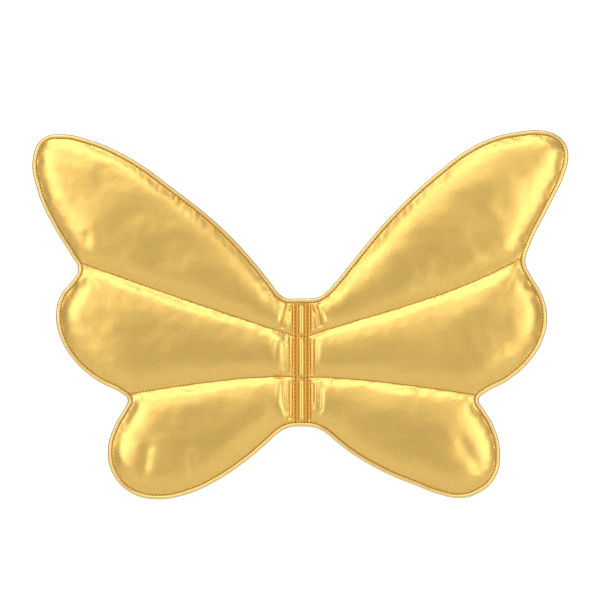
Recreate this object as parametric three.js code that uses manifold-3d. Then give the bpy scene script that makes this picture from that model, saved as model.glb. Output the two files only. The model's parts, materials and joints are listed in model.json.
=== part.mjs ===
// A pair of padded fairy wings to wear on the back, modelled in millimetres.
//
// Each wing is two covers of metallic coated cloth, stitched together round the edge and quilted across into
// three chambers of wadding. A sprung wire in the rolled edge holds the wing's outline. Between the wings is
// the spine: a narrow rib of the same cloth between two vertical rows of stitching, where the wings fold. A
// strip of folded tape covers the back of the spine and holds the ends of two elastic arm straps.
//
// The frame: +X is towards the wearer's right-hand wing as seen from the decorated side, the decorated side
// faces -Y, +Z is up, and the origin is the middle of the strip's flat back face, which lies on the wearer.
// Everything is built round the plane where the front and back covers meet, y = 0, and the whole group is
// moved forward at the end, so that the strip's face comes to y = 0.

import * as THREE from "three";
import { mergeVertices } from "three/addons/utils/BufferGeometryUtils.js";
import Module from "manifold-3d";

const wasm = await Module();
wasm.setup();

// ---------------------------------------------------------------- driving dimensions

const HALF_SPAN = 250; // spine's middle to a wing tip
const RISE = 217; // spine's middle to the top of the higher wing
const DROP = 128; // spine's middle to the lowest lobe
const GAP = 0.3; // between pieces that touch

const CLOTH = 0.85; // coated cloth with its backing
const WEB = 1; // half the thickness where the covers are stitched flat
const LIP_RADIUS = 2.1; // the rolled edge outside the stitching
const VALLEY = 2; // the flat strip between the rolled edge and a chamber
const SEAM_HALF_WIDTH = 1.1; // half the flat strip along a quilting seam
const PAD_GAP = 0.5; // between a pad and the covers in front of and behind it
const PAD_SHRINK = 0.03; // how much smaller a pad is than the pocket round it, as a share
const FRONT_LOFT = { upper: 9, middle: 8.5, lower: 8 };
const BACK_LOFT = { upper: 6.5, middle: 6, lower: 5.5 };

const WIRE_RADIUS = 0.7;
const SLEEVE_RADIUS = 1.45;
const SLEEVE_LENGTH = 24;
const SLEEVE_HEIGHT = 5; // the sleeve's middle above the spine's middle
const WIRE_END_GAP = 1; // between the wire's two ends, inside the sleeve

const THREAD_RADIUS = 0.35;
const STITCH_ROW_X = 5.2; // spine's middle to a vertical row of stitching

const SPINE_HALF_WIDTH = 6.3;
const SPINE_HALF_HEIGHT = 60;
const HINGE_X = 7.6; // spine's middle to the line where a wing folds
const RIB_HALF_WIDTH = 4.3;
const RIB_HEIGHT = 5; // the rib's crown in front of the covers' meeting plane
const UPPER_SEAM_Z = 24.4; // where the quilting seams cross the spine
const LOWER_SEAM_Z = -14.4;

const STRIP_HALF_HEIGHT = SPINE_HALF_HEIGHT - 5;
const STRIP_INNER = 0.9; // thickness of the strip's inner layer
const STRIP_OUTER = 1.3; // and of its outer layer
const TACK_LENGTH = 9;
const TACK_WIDTH = 2;
const TACK_THICKNESS = 0.6;

const STRAP_WIDTH = 12;
const STRAP_THICKNESS = 1.2;
const STRAP_END_Z = SPINE_HALF_HEIGHT - 15; // height of a strap's ends above and below the spine's middle
const STRAP_TAB = 5; // length of an end inside the strip
const STRAP_HINGE = 1.8; // how far beyond the spine's edge a strap starts to swing
const STRAP_REACH = 106; // how far a strap's loop stands out from the spine
const STRAP_SAG = 66; // how far below the spine's middle the loop hangs
const STRAP_ANGLE = 50; // degrees between a strap's loop and the wing behind it

// ---------------------------------------------------------------- outlines

// A wing's outline, from the top of the spine round to its bottom. x is a share of the half span. In `leading`
// z is a share of the way from the spine's top to the wing's top, in `trailing` a share of the way from the
// spine's bottom to the lowest lobe, and elsewhere a share of the rise or, where negative, of the drop. The
// two wings are cut by hand and aren't quite alike.
const LEFT = {
  side: -1,
  leading: [
    [0.058, 0.002], [0.082, 0.028], [0.118, 0.1], [0.171, 0.207], [0.297, 0.421], [0.462, 0.635],
    [0.655, 0.849], [0.82, 0.957], [0.895, 0.977], [0.966, 0.955], [1.004, 0.84],
  ],
  tip: [[0.986, 0.736], [0.925, 0.581], [0.857, 0.453]],
  upperNotch: [0.834, 0.402],
  middle: [
    [0.853, 0.359], [0.901, 0.289], [0.918, 0.207], [0.905, 0.116], [0.854, 0.013], [0.764, -0.134],
    [0.676, -0.224],
  ],
  lowerNotch: [0.649, -0.272],
  lower: [[0.664, -0.339], [0.699, -0.459], [0.725, -0.656], [0.7, -0.836], [0.632, -0.959]],
  trailing: [
    [0.54, 1], [0.43, 0.934], [0.318, 0.748], [0.206, 0.472], [0.131, 0.24], [0.078, 0.07], [0.05, 0.02],
  ],
  lowerSeamBow: 4.3,
};
const RIGHT = {
  side: 1,
  leading: [
    [0.058, 0.006], [0.082, 0.028], [0.128, 0.1], [0.182, 0.207], [0.333, 0.492], [0.528, 0.778],
    [0.62, 0.885], [0.714, 0.957], [0.812, 0.992], [0.893, 1], [0.957, 0.97], [0.99, 0.912], [0.998, 0.85],
  ],
  tip: [[0.984, 0.813], [0.92, 0.659], [0.854, 0.504]],
  upperNotch: [0.837, 0.43],
  middle: [
    [0.858, 0.375], [0.899, 0.294], [0.918, 0.207], [0.908, 0.116], [0.859, 0.013], [0.771, -0.134],
    [0.686, -0.224],
  ],
  lowerNotch: [0.662, -0.27],
  lower: [[0.679, -0.333], [0.718, -0.459], [0.743, -0.68], [0.722, -0.85], [0.663, -0.953]],
  trailing: [
    [0.594, 0.985], [0.519, 0.938], [0.422, 0.805], [0.316, 0.643], [0.196, 0.395], [0.136, 0.23],
    [0.082, 0.07], [0.052, 0.02],
  ],
  lowerSeamBow: 3.1,
};

const WING_EDGE_X = HINGE_X + GAP;
const CORNER_CUT = 2.5; // the cut corners at the top and bottom of a wing's straight inner edge

const lerp = THREE.MathUtils.lerp;
const rise = (share) => share * (share < 0 ? DROP : RISE);

// The listed points in millimetres, x without its sign, in order from the spine's top to its bottom.
function outlineKnots(wing) {
  const x = (share) => share * HALF_SPAN;
  const plain = [...wing.tip, wing.upperNotch, ...wing.middle, wing.lowerNotch, ...wing.lower];
  return [
    [WING_EDGE_X + CORNER_CUT, SPINE_HALF_HEIGHT],
    ...wing.leading.map(([u, v]) => [x(u), lerp(SPINE_HALF_HEIGHT, RISE, v)]),
    ...plain.map(([u, v]) => [x(u), rise(v)]),
    ...wing.trailing.map(([u, v]) => [x(u), -lerp(SPINE_HALF_HEIGHT, DROP, v)]),
    [WING_EDGE_X + CORNER_CUT, -SPINE_HALF_HEIGHT],
  ];
}

// The curved part of the outline, x without its sign.
const outerCurve = (wing) => outlineKnots(wing).map(([x, z]) => new THREE.Vector2(x, z));

// The whole closed outline: the curve and the straight inner edge with its cut corners.
function wingOutline(wing) {
  const corner = SPINE_HALF_HEIGHT - CORNER_CUT;
  return [
    ...outerCurve(wing),
    new THREE.Vector2(WING_EDGE_X, -corner),
    new THREE.Vector2(WING_EDGE_X, 0),
    new THREE.Vector2(WING_EDGE_X, corner),
  ];
}

// Points moved by `distance` to the right of their direction of travel, which is the outline's inner side.
// Each corner keeps its distance from both of the sides that meet there.
function insetPoints(points, distance, closed) {
  const last = points.length - 1;
  return points.map((point, i) => {
    const before = points[i > 0 ? i - 1 : closed ? last : 0];
    const after = points[i < last ? i + 1 : closed ? 0 : last];
    const into = point.clone().sub(before).normalize();
    const out = after.clone().sub(point).normalize();
    if (into.lengthSq() < 0.5) into.copy(out);
    if (out.lengthSq() < 0.5) out.copy(into);
    const along = into.clone().add(out).normalize();
    const stretch = 1 / Math.max(0.5, along.dot(into));
    return point.clone().add(new THREE.Vector2(along.y, -along.x).multiplyScalar(distance * stretch));
  });
}

// The height of a quilting seam at a distance x from the spine's middle.
function seamHeight(wing, seam, x) {
  const [notchX, notchZ] = seam === "upper" ? wing.upperNotch : wing.lowerNotch;
  const start = seam === "upper" ? UPPER_SEAM_Z : LOWER_SEAM_Z;
  const bow = seam === "upper" ? 0 : wing.lowerSeamBow;
  const t = (x - HINGE_X) / (notchX * HALF_SPAN - HINGE_X);
  return lerp(start, rise(notchZ), t) + 4 * bow * t * (1 - t);
}

// The part of a polygon where keep(point) is positive. The new edge follows rim(t) from 0 to 1.
function clipPolygon(polygon, keep, rim) {
  const crossing = (a, b) => a.clone().lerp(b, keep(a) / (keep(a) - keep(b)));
  const kept = [];
  polygon.forEach((a, i) => {
    const b = polygon[(i + 1) % polygon.length];
    if (keep(a) > 0) kept.push(a);
    if (keep(a) > 0 && keep(b) <= 0) kept.push(crossing(a, b), ...rim(crossing(a, b), polygon));
    if (keep(a) <= 0 && keep(b) > 0) kept.push(crossing(a, b));
  });
  return kept;
}

const RIM_STEP = 30; // spacing of the points along a seam's edge of a chamber
const CHAMBER_CORNER = 16; // how far below the top of the spine a chamber's inner corner is cut away

// The flat shape of one chamber of a wing, pulled in by `inset` all round.
function chamberPolygon(wing, chamber, inset) {
  const innerX = WING_EDGE_X + 2 * LIP_RADIUS + VALLEY + inset;
  const margin = SEAM_HALF_WIDTH + inset;
  let polygon = insetPoints(outerCurve(wing), 2 * LIP_RADIUS + VALLEY + inset, false);
  const cornerZ = SPINE_HALF_HEIGHT - CHAMBER_CORNER;
  polygon = clipPolygon(polygon, (p) => p.x - innerX, () => []);
  polygon = clipPolygon(polygon, (p) => p.x - innerX - (p.y - cornerZ), () => []);
  polygon = clipPolygon(polygon, (p) => p.x - innerX - (-p.y - cornerZ), () => []);
  const cut = (seam, above) => {
    const edge = (x) => seamHeight(wing, seam, x) + (above ? margin : -margin);
    polygon = clipPolygon(polygon, (p) => (above ? p.y - edge(p.x) : edge(p.x) - p.y), (from) => {
      const inwards = from.x > HALF_SPAN / 3;
      const far = seam === "upper" ? wing.upperNotch[0] : wing.lowerNotch[0];
      const to = inwards ? innerX : far * HALF_SPAN - 2 * LIP_RADIUS - VALLEY;
      const count = Math.round(Math.abs(to - from.x) / RIM_STEP);
      return Array.from({ length: count - 1 }, (_, i) => {
        const x = lerp(from.x, to, (i + 1) / count);
        return new THREE.Vector2(x, edge(x));
      });
    });
  };
  if (chamber !== "lower") cut(chamber === "upper" ? "upper" : "lower", true);
  if (chamber !== "upper") cut(chamber === "lower" ? "lower" : "upper", false);
  return polygon;
}

// ---------------------------------------------------------------- solids

// A closed mesh from points and triangles. Wings on the left are mirrored here, and their faces turned round.
function closedMesh(points, triangles, side = 1) {
  const mirrored = points.flatMap((p) => [p.x * side, p.y, p.z]);
  const index = side > 0 ? triangles.flat() : triangles.flatMap(([a, b, c]) => [a, c, b]);
  const geometry = new THREE.BufferGeometry();
  geometry.setAttribute("position", new THREE.Float32BufferAttribute(mirrored, 3));
  geometry.setIndex(index);
  return geometry;
}

// Rings of points joined into a skin. Each ring has as many points, and the ends are closed by fans unless
// the rings run round in a circle.
function skinOf(rings, closed, side = 1) {
  const size = rings[0].length;
  const points = rings.flat();
  const triangles = [];
  const spans = closed ? rings.length : rings.length - 1;
  for (let i = 0; i < spans; i++) {
    const a = i * size;
    const b = ((i + 1) % rings.length) * size;
    for (let j = 0; j < size; j++) {
      const k = (j + 1) % size;
      triangles.push([a + j, a + k, b + k], [a + j, b + k, b + j]);
    }
  }
  if (!closed) {
    const end = (rings.length - 1) * size;
    for (let j = 1; j < size - 1; j++) {
      triangles.push([0, j + 1, j], [end, end + j, end + j + 1]);
    }
  }
  const geometry = closedMesh(points, triangles, side);
  return signedVolume(geometry) > 0 ? geometry : turnedOut(geometry);
}

function signedVolume(geometry) {
  const position = geometry.getAttribute("position");
  const corner = (i) => new THREE.Vector3().fromBufferAttribute(position, geometry.index.getX(i));
  let total = 0;
  for (let i = 0; i < geometry.index.count; i += 3) {
    total += corner(i).dot(corner(i + 1).cross(corner(i + 2))) / 6;
  }
  return total;
}

function turnedOut(geometry) {
  const index = Array.from(geometry.index.array);
  for (let i = 0; i < index.length; i += 3) [index[i + 1], index[i + 2]] = [index[i + 2], index[i + 1]];
  geometry.setIndex(index);
  return geometry;
}

// A regular polygon with its corners on a circle, as a section for a tube.
function roundSection(radius, sides) {
  return Array.from({ length: sides }, (_, i) => {
    const angle = (2 * Math.PI * (i + 0.5)) / sides;
    return new THREE.Vector2(radius * Math.cos(angle), radius * Math.sin(angle));
  });
}

// A tube along a path in a wing's plane. Path points are (x, z, y), so z of a point is its depth.
function tubeInPlane(path, section, closed, side) {
  const last = path.length - 1;
  const rings = path.map((point, i) => {
    const before = path[i > 0 ? i - 1 : closed ? last : 0];
    const after = path[i < last ? i + 1 : closed ? 0 : last];
    const across = new THREE.Vector2(after.y - before.y, before.x - after.x).normalize();
    return section.map(
      (s) => new THREE.Vector3(point.x + across.x * s.x, (point.z ?? 0) + s.y, point.y + across.y * s.x),
    );
  });
  return skinOf(rings, closed, side);
}

// A flat plate between two depths, from a polygon of (x, z).
function plate(polygon, near, far, side = 1) {
  const shape = new THREE.Shape(polygon.map((p) => new THREE.Vector2(p.x * side, p.y)));
  const geometry = new THREE.ExtrudeGeometry(shape, { depth: far - near, bevelEnabled: false });
  return geometry.rotateX(Math.PI / 2).translate(0, far, 0);
}

function box(x, y, z) {
  const geometry = new THREE.BoxGeometry(x[1] - x[0], y[1] - y[0], z[1] - z[0]);
  return geometry.translate((x[0] + x[1]) / 2, (y[0] + y[1]) / 2, (z[0] + z[1]) / 2);
}

// Steps from a chamber's rim to its middle: how far in, and how much of the loft is reached there.
const PILLOW_STEPS = [
  [0.12, 0.6],
  [0.45, 1],
];

// The centre of a polygon's area, from the triangles its edges make with the first corner.
function middleOf(polygon) {
  const start = polygon[0];
  const sum = new THREE.Vector2();
  let area = 0;
  for (let i = 1; i < polygon.length - 1; i++) {
    const a = polygon[i].clone().sub(start);
    const b = polygon[i + 1].clone().sub(start);
    const weight = a.cross(b);
    sum.addScaledVector(a.add(b), weight / 3);
    area += weight;
  }
  return sum.divideScalar(area).add(start);
}

// A cushion over a flat outline, domed to the front and to the back, closed by a point at each middle.
function pillow(polygon, front, back, side) {
  const middle = middleOf(polygon);
  const ring = (share, depth) =>
    polygon.map((p) => new THREE.Vector3(lerp(p.x, middle.x, share), depth, lerp(p.y, middle.y, share)));
  const rings = [
    ...PILLOW_STEPS.toReversed().map(([inward, loft]) => ring(inward, -front * loft)),
    ring(0, 0),
    ...PILLOW_STEPS.map(([inward, loft]) => ring(inward, back * loft)),
  ];
  const size = polygon.length;
  const points = [...rings.flat()];
  const frontPole = points.push(new THREE.Vector3(middle.x, -front, middle.y)) - 1;
  const backPole = points.push(new THREE.Vector3(middle.x, back, middle.y)) - 1;
  const triangles = [];
  for (let j = 0; j < size; j++) {
    const k = (j + 1) % size;
    const end = (rings.length - 1) * size;
    triangles.push([frontPole, k, j], [backPole, end + j, end + k]);
    for (let i = 0; i < rings.length - 1; i++) {
      const a = i * size;
      triangles.push([a + j, a + k, a + size + k], [a + j, a + size + k, a + size + j]);
    }
  }
  const geometry = closedMesh(points, triangles, side);
  return signedVolume(geometry) > 0 ? geometry : turnedOut(geometry);
}

function solid(geometry) {
  const bare = geometry.clone();
  bare.deleteAttribute("normal");
  bare.deleteAttribute("uv");
  const merged = mergeVertices(bare, 1e-4);
  return new wasm.Manifold(
    new wasm.Mesh({
      numProp: 3,
      vertProperties: merged.getAttribute("position").array,
      triVerts: new Uint32Array(merged.index.array),
    }),
  );
}

function geometryOf(manifold) {
  const mesh = manifold.simplify(0.02).getMesh();
  const geometry = new THREE.BufferGeometry();
  geometry.setAttribute("position", new THREE.Float32BufferAttribute(mesh.vertProperties, 3));
  geometry.setIndex(Array.from(mesh.triVerts));
  geometry.computeVertexNormals();
  return geometry;
}

const joined = (...geometries) => geometries.map(solid).reduce((a, b) => a.add(b));

// ---------------------------------------------------------------- materials and nodes

const finish = (color, roughness, metalness) =>
  new THREE.MeshStandardMaterial({ color, roughness, metalness });
const GOLD_CLOTH = finish(0xd9ab52, 0.38, 0.9);
const TAPE = finish(0xc79a4a, 0.6, 0.4);
const THREAD = finish(0xc58e2e, 0.55, 0);
const WADDING = finish(0xf2f0ea, 0.95, 0);
const WIRE = finish(0x9fa3a6, 0.3, 1);
const SLEEVE = finish(0xb9a05a, 0.35, 1);
const ELASTIC = finish(0xc8a45c, 0.8, 0);

const wings = new THREE.Group();

function node(name, geometry, material) {
  const mesh = new THREE.Mesh(geometry, material);
  mesh.name = name;
  wings.add(mesh);
}

// ---------------------------------------------------------------- wings

const CHAMBERS = ["upper", "middle", "lower"];
const TUBE_SIDES = 6;
const BEYOND = 400; // past every edge of the object, for cutting it in two

// The front or the back half of a solid, with half a gap left at the meeting plane.
function halfOf(manifold, isFront) {
  const y = isFront ? [-BEYOND, -GAP / 2] : [GAP / 2, BEYOND];
  return manifold.intersect(solid(box([-BEYOND, BEYOND], y, [-BEYOND, BEYOND])));
}

const lipCentre = (wing) => insetPoints(wingOutline(wing), LIP_RADIUS, true);

function wingCovers(wing) {
  const centre = lipCentre(wing);
  const pillows = (inset, thinner) =>
    CHAMBERS.map((chamber) =>
      pillow(
        chamberPolygon(wing, chamber, inset),
        FRONT_LOFT[chamber] - thinner,
        BACK_LOFT[chamber] - thinner,
        wing.side,
      ),
    );
  const lip = tubeInPlane(centre, roundSection(LIP_RADIUS, TUBE_SIDES), true, wing.side);
  const channel = tubeInPlane(centre, roundSection(WIRE_RADIUS + GAP, TUBE_SIDES), true, wing.side);
  const outside = joined(plate(centre, -WEB, WEB, wing.side), lip, ...pillows(0, 0));
  const hollow = joined(channel, sleeveTube(wing, SLEEVE_RADIUS + GAP, GAP), ...pillows(CLOTH, CLOTH));
  return outside.subtract(hollow);
}

// A straight tube round the wire's joint, on the straight inner edge.
function sleeveTube(wing, radius, longer) {
  const x = WING_EDGE_X + LIP_RADIUS;
  const reach = SLEEVE_LENGTH / 2 + longer;
  const path = [new THREE.Vector2(x, SLEEVE_HEIGHT - reach), new THREE.Vector2(x, SLEEVE_HEIGHT + reach)];
  return tubeInPlane(path, roundSection(radius, TUBE_SIDES), false, wing.side);
}

// The wire follows the middle of the rolled edge. Its ends almost meet inside the sleeve.
function wirePath(wing) {
  const centre = lipCentre(wing);
  const x = WING_EDGE_X + LIP_RADIUS;
  const end = (way) => new THREE.Vector2(x, SLEEVE_HEIGHT + (way * WIRE_END_GAP) / 2);
  return [end(1), centre.at(-1), ...centre.slice(0, -2), end(-1)];
}

const THREAD_DEPTH = WEB + GAP + THREAD_RADIUS;
const SQUARE_SIDES = 4;

function threadTube(path, side) {
  return tubeInPlane(path, roundSection(THREAD_RADIUS, SQUARE_SIDES), false, side);
}

function edgeThread(wing) {
  const row = insetPoints(outerCurve(wing), 2 * LIP_RADIUS + VALLEY / 2, false);
  const innerX = WING_EDGE_X + 2 * LIP_RADIUS + 2 * GAP;
  const path = row.filter((p) => p.x > innerX).map((p) => new THREE.Vector3(p.x, p.y, -THREAD_DEPTH));
  return threadTube(path, wing.side);
}

// A quilting thread runs from the inner rolled edge to just short of the edge's own thread.
const QUILTING_SPANS = 7;

function quiltingThread(wing, seam) {
  const startX = WING_EDGE_X + 2 * LIP_RADIUS + 2 * GAP;
  const notchX = (seam === "upper" ? wing.upperNotch[0] : wing.lowerNotch[0]) * HALF_SPAN;
  const endX = notchX - 2 * LIP_RADIUS - 3 * VALLEY;
  const path = Array.from({ length: QUILTING_SPANS + 1 }, (_, i) => {
    const x = lerp(startX, endX, i / QUILTING_SPANS);
    return new THREE.Vector3(x, seamHeight(wing, seam, x), -THREAD_DEPTH);
  });
  return threadTube(path, wing.side);
}

function buildWing(wing, name) {
  const covers = wingCovers(wing);
  node(`${name}_front_cover`, geometryOf(halfOf(covers, true)), GOLD_CLOTH);
  node(`${name}_back_cover`, geometryOf(halfOf(covers, false)), GOLD_CLOTH);
  const thinner = CLOTH + PAD_GAP;
  for (const chamber of CHAMBERS) {
    const pocket = chamberPolygon(wing, chamber, CLOTH);
    const flat = pocket.map((p) => p.clone().lerp(middleOf(pocket), PAD_SHRINK));
    const pad = pillow(flat, FRONT_LOFT[chamber] - thinner, BACK_LOFT[chamber] - thinner, wing.side);
    pad.computeVertexNormals();
    node(`${name}_${chamber}_wadding`, pad, WADDING);
  }
  const wire = tubeInPlane(wirePath(wing), roundSection(WIRE_RADIUS, TUBE_SIDES), false, wing.side);
  node(`${name}_edge_wire`, wire, WIRE);
  const bore = solid(sleeveTube(wing, WIRE_RADIUS + GAP, GAP));
  node(`${name}_wire_sleeve`, geometryOf(solid(sleeveTube(wing, SLEEVE_RADIUS, 0)).subtract(bore)), SLEEVE);
  node(`${name}_edge_stitching`, edgeThread(wing), THREAD);
  node(`${name}_upper_quilting`, quiltingThread(wing, "upper"), THREAD);
  node(`${name}_lower_quilting`, quiltingThread(wing, "lower"), THREAD);
}

// ---------------------------------------------------------------- spine

const STRIP_Y = WEB + GAP; // the strip's inner face
const POCKET_Y = [STRIP_Y + STRIP_INNER, STRIP_Y + STRIP_INNER + STRAP_THICKNESS + 2 * GAP];
const STRIP_FACE = POCKET_Y[1] + STRIP_OUTER;
const STRAP_Y = (POCKET_Y[0] + POCKET_Y[1]) / 2;

// The three lengths of the rib between the edge's stitching and the seams that pinch it.
const RIB_SPANS = {
  upper: [UPPER_SEAM_Z + SEAM_HALF_WIDTH, SPINE_HALF_HEIGHT - 2 * LIP_RADIUS - VALLEY],
  middle: [LOWER_SEAM_Z + SEAM_HALF_WIDTH, UPPER_SEAM_Z - SEAM_HALF_WIDTH],
  lower: [-SPINE_HALF_HEIGHT + 2 * LIP_RADIUS + VALLEY, LOWER_SEAM_Z - SEAM_HALF_WIDTH],
};
const RIB_CORNERS = 8;

// One length of the rib: half an ellipse standing on the plane y = from, pulled in by `inset` all round.
function ribLength([low, high], inset, from) {
  const shape = new THREE.Shape();
  for (let i = 0; i <= RIB_CORNERS; i++) {
    const angle = (Math.PI * i) / RIB_CORNERS;
    const x = (RIB_HALF_WIDTH - inset) * Math.cos(angle);
    const y = (RIB_HEIGHT - inset) * Math.sin(angle);
    if (i === 0) shape.moveTo(x, 0);
    shape.lineTo(x, y);
  }
  const length = high - low - 2 * inset;
  const geometry = new THREE.ExtrudeGeometry(shape, { depth: length, bevelEnabled: false });
  geometry.scale(1, -1, 1).translate(0, 0, low + inset);
  const rib = solid(turnedOut(mergeVertices(bare(geometry))));
  const beyond = solid(box([-BEYOND, BEYOND], [-BEYOND, from], [-BEYOND, BEYOND]));
  return rib.intersect(beyond);
}

function bare(geometry) {
  geometry.deleteAttribute("normal");
  geometry.deleteAttribute("uv");
  return geometry;
}

function edgeRod(height) {
  const path = [new THREE.Vector2(-SPINE_HALF_WIDTH, height), new THREE.Vector2(SPINE_HALF_WIDTH, height)];
  return tubeInPlane(path, roundSection(LIP_RADIUS, TUBE_SIDES), false, 1);
}

function spineFlat() {
  const lipHeight = SPINE_HALF_HEIGHT - LIP_RADIUS;
  const web = box([-SPINE_HALF_WIDTH, SPINE_HALF_WIDTH], [-WEB, WEB], [-lipHeight, lipHeight]);
  return joined(web, edgeRod(lipHeight), edgeRod(-lipHeight));
}

function buildSpine() {
  let front = halfOf(spineFlat(), true);
  for (const span of Object.values(RIB_SPANS)) front = front.add(ribLength(span, 0, -GAP / 2));
  for (const span of Object.values(RIB_SPANS)) front = front.subtract(ribLength(span, CLOTH, GAP));
  node("spine_front_cover", geometryOf(front), GOLD_CLOTH);
  node("spine_back_cover", geometryOf(halfOf(spineFlat(), false)), GOLD_CLOTH);
  for (const [name, span] of Object.entries(RIB_SPANS)) {
    node(`spine_${name}_wadding`, geometryOf(ribLength(span, CLOTH + PAD_GAP, -GAP / 2)), WADDING);
  }

  const rowTop = SPINE_HALF_HEIGHT - 2 * LIP_RADIUS - GAP;
  for (const [name, side] of [["left", -1], ["right", 1]]) {
    const x = STITCH_ROW_X * side;
    const path = [new THREE.Vector3(x, -rowTop, -THREAD_DEPTH), new THREE.Vector3(x, rowTop, -THREAD_DEPTH)];
    node(`spine_${name}_stitching`, threadTube(path, 1), THREAD);
  }
  const across = (height) => {
    const x = STITCH_ROW_X - THREAD_RADIUS - GAP;
    const ends = [-x, x].map((at) => new THREE.Vector3(at, height, -THREAD_DEPTH));
    return threadTube(ends, 1);
  };
  const edgeRow = SPINE_HALF_HEIGHT - 2 * LIP_RADIUS - VALLEY / 2;
  node("spine_top_stitching", across(edgeRow), THREAD);
  node("spine_upper_quilting", across(UPPER_SEAM_Z), THREAD);
  node("spine_lower_quilting", across(LOWER_SEAM_Z), THREAD);
  node("spine_bottom_stitching", across(-edgeRow), THREAD);
}

// The four places where a strap's end goes into the strip.
const STRAP_ENDS = [
  ["left_upper", -1, STRAP_END_Z],
  ["left_lower", -1, -STRAP_END_Z],
  ["right_upper", 1, STRAP_END_Z],
  ["right_lower", 1, -STRAP_END_Z],
];

const TACK_X = 3.4; // spine's middle to the middle of a bar tack

// The strip is a folded tape with a pocket for each strap end, and a groove in its face for each bar tack.
function buildStrip() {
  let strip = solid(
    box([-SPINE_HALF_WIDTH, SPINE_HALF_WIDTH], [STRIP_Y, STRIP_FACE], [-STRIP_HALF_HEIGHT, STRIP_HALF_HEIGHT]),
  );
  for (const [name, side, height] of STRAP_ENDS) {
    const halfWidth = STRAP_WIDTH / 2 + GAP;
    const deep = SPINE_HALF_WIDTH - STRAP_TAB - GAP;
    const mouth = SPINE_HALF_WIDTH + 1;
    const x = side > 0 ? [deep, mouth] : [-mouth, -deep];
    strip = strip.subtract(solid(box(x, POCKET_Y, [height - halfWidth, height + halfWidth])));
    const tack = (grown, face) =>
      box(
        [side * TACK_X - TACK_WIDTH / 2 - grown, side * TACK_X + TACK_WIDTH / 2 + grown],
        [STRIP_FACE - TACK_THICKNESS - grown, face],
        [height - TACK_LENGTH / 2 - grown, height + TACK_LENGTH / 2 + grown],
      );
    strip = strip.subtract(solid(tack(GAP, STRIP_FACE + 1)));
    node(`${name}_bar_tack`, tack(0, STRIP_FACE), THREAD);
  }
  node("spine_strip", geometryOf(strip), TAPE);
}

// ---------------------------------------------------------------- straps

const FOLD_END = 7; // how far beyond the spine's edge a strap has turned all the way from the wing

// A strap's route outside the strip, as points of (distance out from the spine's edge, height), chosen to
// hang in a loose loop.
const STRAP_ROUTE = [
  [STRAP_HINGE, STRAP_END_Z],
  [8, STRAP_END_Z],
  [16, STRAP_END_Z + 1.5],
  [STRAP_REACH * 0.43, STRAP_END_Z + 1],
  [STRAP_REACH * 0.76, STRAP_END_Z * 0.8],
  [STRAP_REACH * 0.97, STRAP_END_Z * 0.27],
  [STRAP_REACH, -STRAP_SAG * 0.27],
  [STRAP_REACH * 0.85, -STRAP_SAG * 0.73],
  [STRAP_REACH * 0.57, -STRAP_SAG],
  [STRAP_REACH * 0.29, -STRAP_SAG * 0.92],
  [17, -STRAP_END_Z - 4],
  [8, -STRAP_END_Z],
  [STRAP_HINGE, -STRAP_END_Z],
];
const STRAP_STEPS = 40;
const TWIST_REACH = 34; // by this distance out, it has turned from lying flat to standing on its edge

// A point of a strap: `out` along the plane of the loop from the spine's edge, and `over` to the side of it.
function strapPoint(out, over, height) {
  const turn = THREE.MathUtils.degToRad(STRAP_ANGLE) * THREE.MathUtils.smoothstep(out, STRAP_HINGE, FOLD_END);
  return new THREE.Vector3(
    SPINE_HALF_WIDTH + out * Math.cos(turn) - over * Math.sin(turn),
    STRAP_Y + out * Math.sin(turn) + over * Math.cos(turn),
    height,
  );
}

// The four corners of the band at one place on its route, which runs in the direction `along` there.
function strapRing(point, along) {
  const across = new THREE.Vector2(-along.y, along.x);
  const twist = (Math.PI / 2) * THREE.MathUtils.smoothstep(point.x, 2, TWIST_REACH);
  const w = STRAP_WIDTH / 2;
  const h = STRAP_THICKNESS / 2;
  return [[w, h], [-w, h], [-w, -h], [w, -h]].map(([wide, thick]) => {
    const inPlane = wide * Math.cos(twist) - thick * Math.sin(twist);
    const over = wide * Math.sin(twist) + thick * Math.cos(twist);
    return strapPoint(point.x + across.x * inPlane, over, point.y + across.y * inPlane);
  });
}

// The strap is a flat band. It leaves the strip lying flat, and a quarter turn near each end stands its loop
// on edge.
function strap(side) {
  const knots = STRAP_ROUTE.map(([out, height]) => new THREE.Vector3(out, height, 0));
  const route = new THREE.CatmullRomCurve3(knots, false, "centripetal");
  const rings = [];
  for (let i = 0; i <= STRAP_STEPS; i++) {
    rings.push(strapRing(route.getPointAt(i / STRAP_STEPS), route.getTangentAt(i / STRAP_STEPS)));
  }
  return skinOf(rings, false, side);
}

// A sewn-in end of a strap. It stays with the spine, and stops short of where the strap swings.
function strapEnd(side, height) {
  const reach = [SPINE_HALF_WIDTH - STRAP_TAB, SPINE_HALF_WIDTH + STRAP_HINGE - STRAP_THICKNESS / 2 - GAP];
  const x = side > 0 ? reach : [-reach[1], -reach[0]];
  const y = [STRAP_Y - STRAP_THICKNESS / 2, STRAP_Y + STRAP_THICKNESS / 2];
  return box(x, y, [height - STRAP_WIDTH / 2, height + STRAP_WIDTH / 2]);
}

// ---------------------------------------------------------------- assembly

buildWing(LEFT, "left");
buildWing(RIGHT, "right");
buildSpine();
buildStrip();
for (const [name, side, height] of STRAP_ENDS) {
  node(`${name}_strap_end`, strapEnd(side, height), ELASTIC);
}
node("left_strap", strap(-1), ELASTIC);
node("right_strap", strap(1), ELASTIC);
wings.position.y = -STRIP_FACE;

export default wings;
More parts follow.
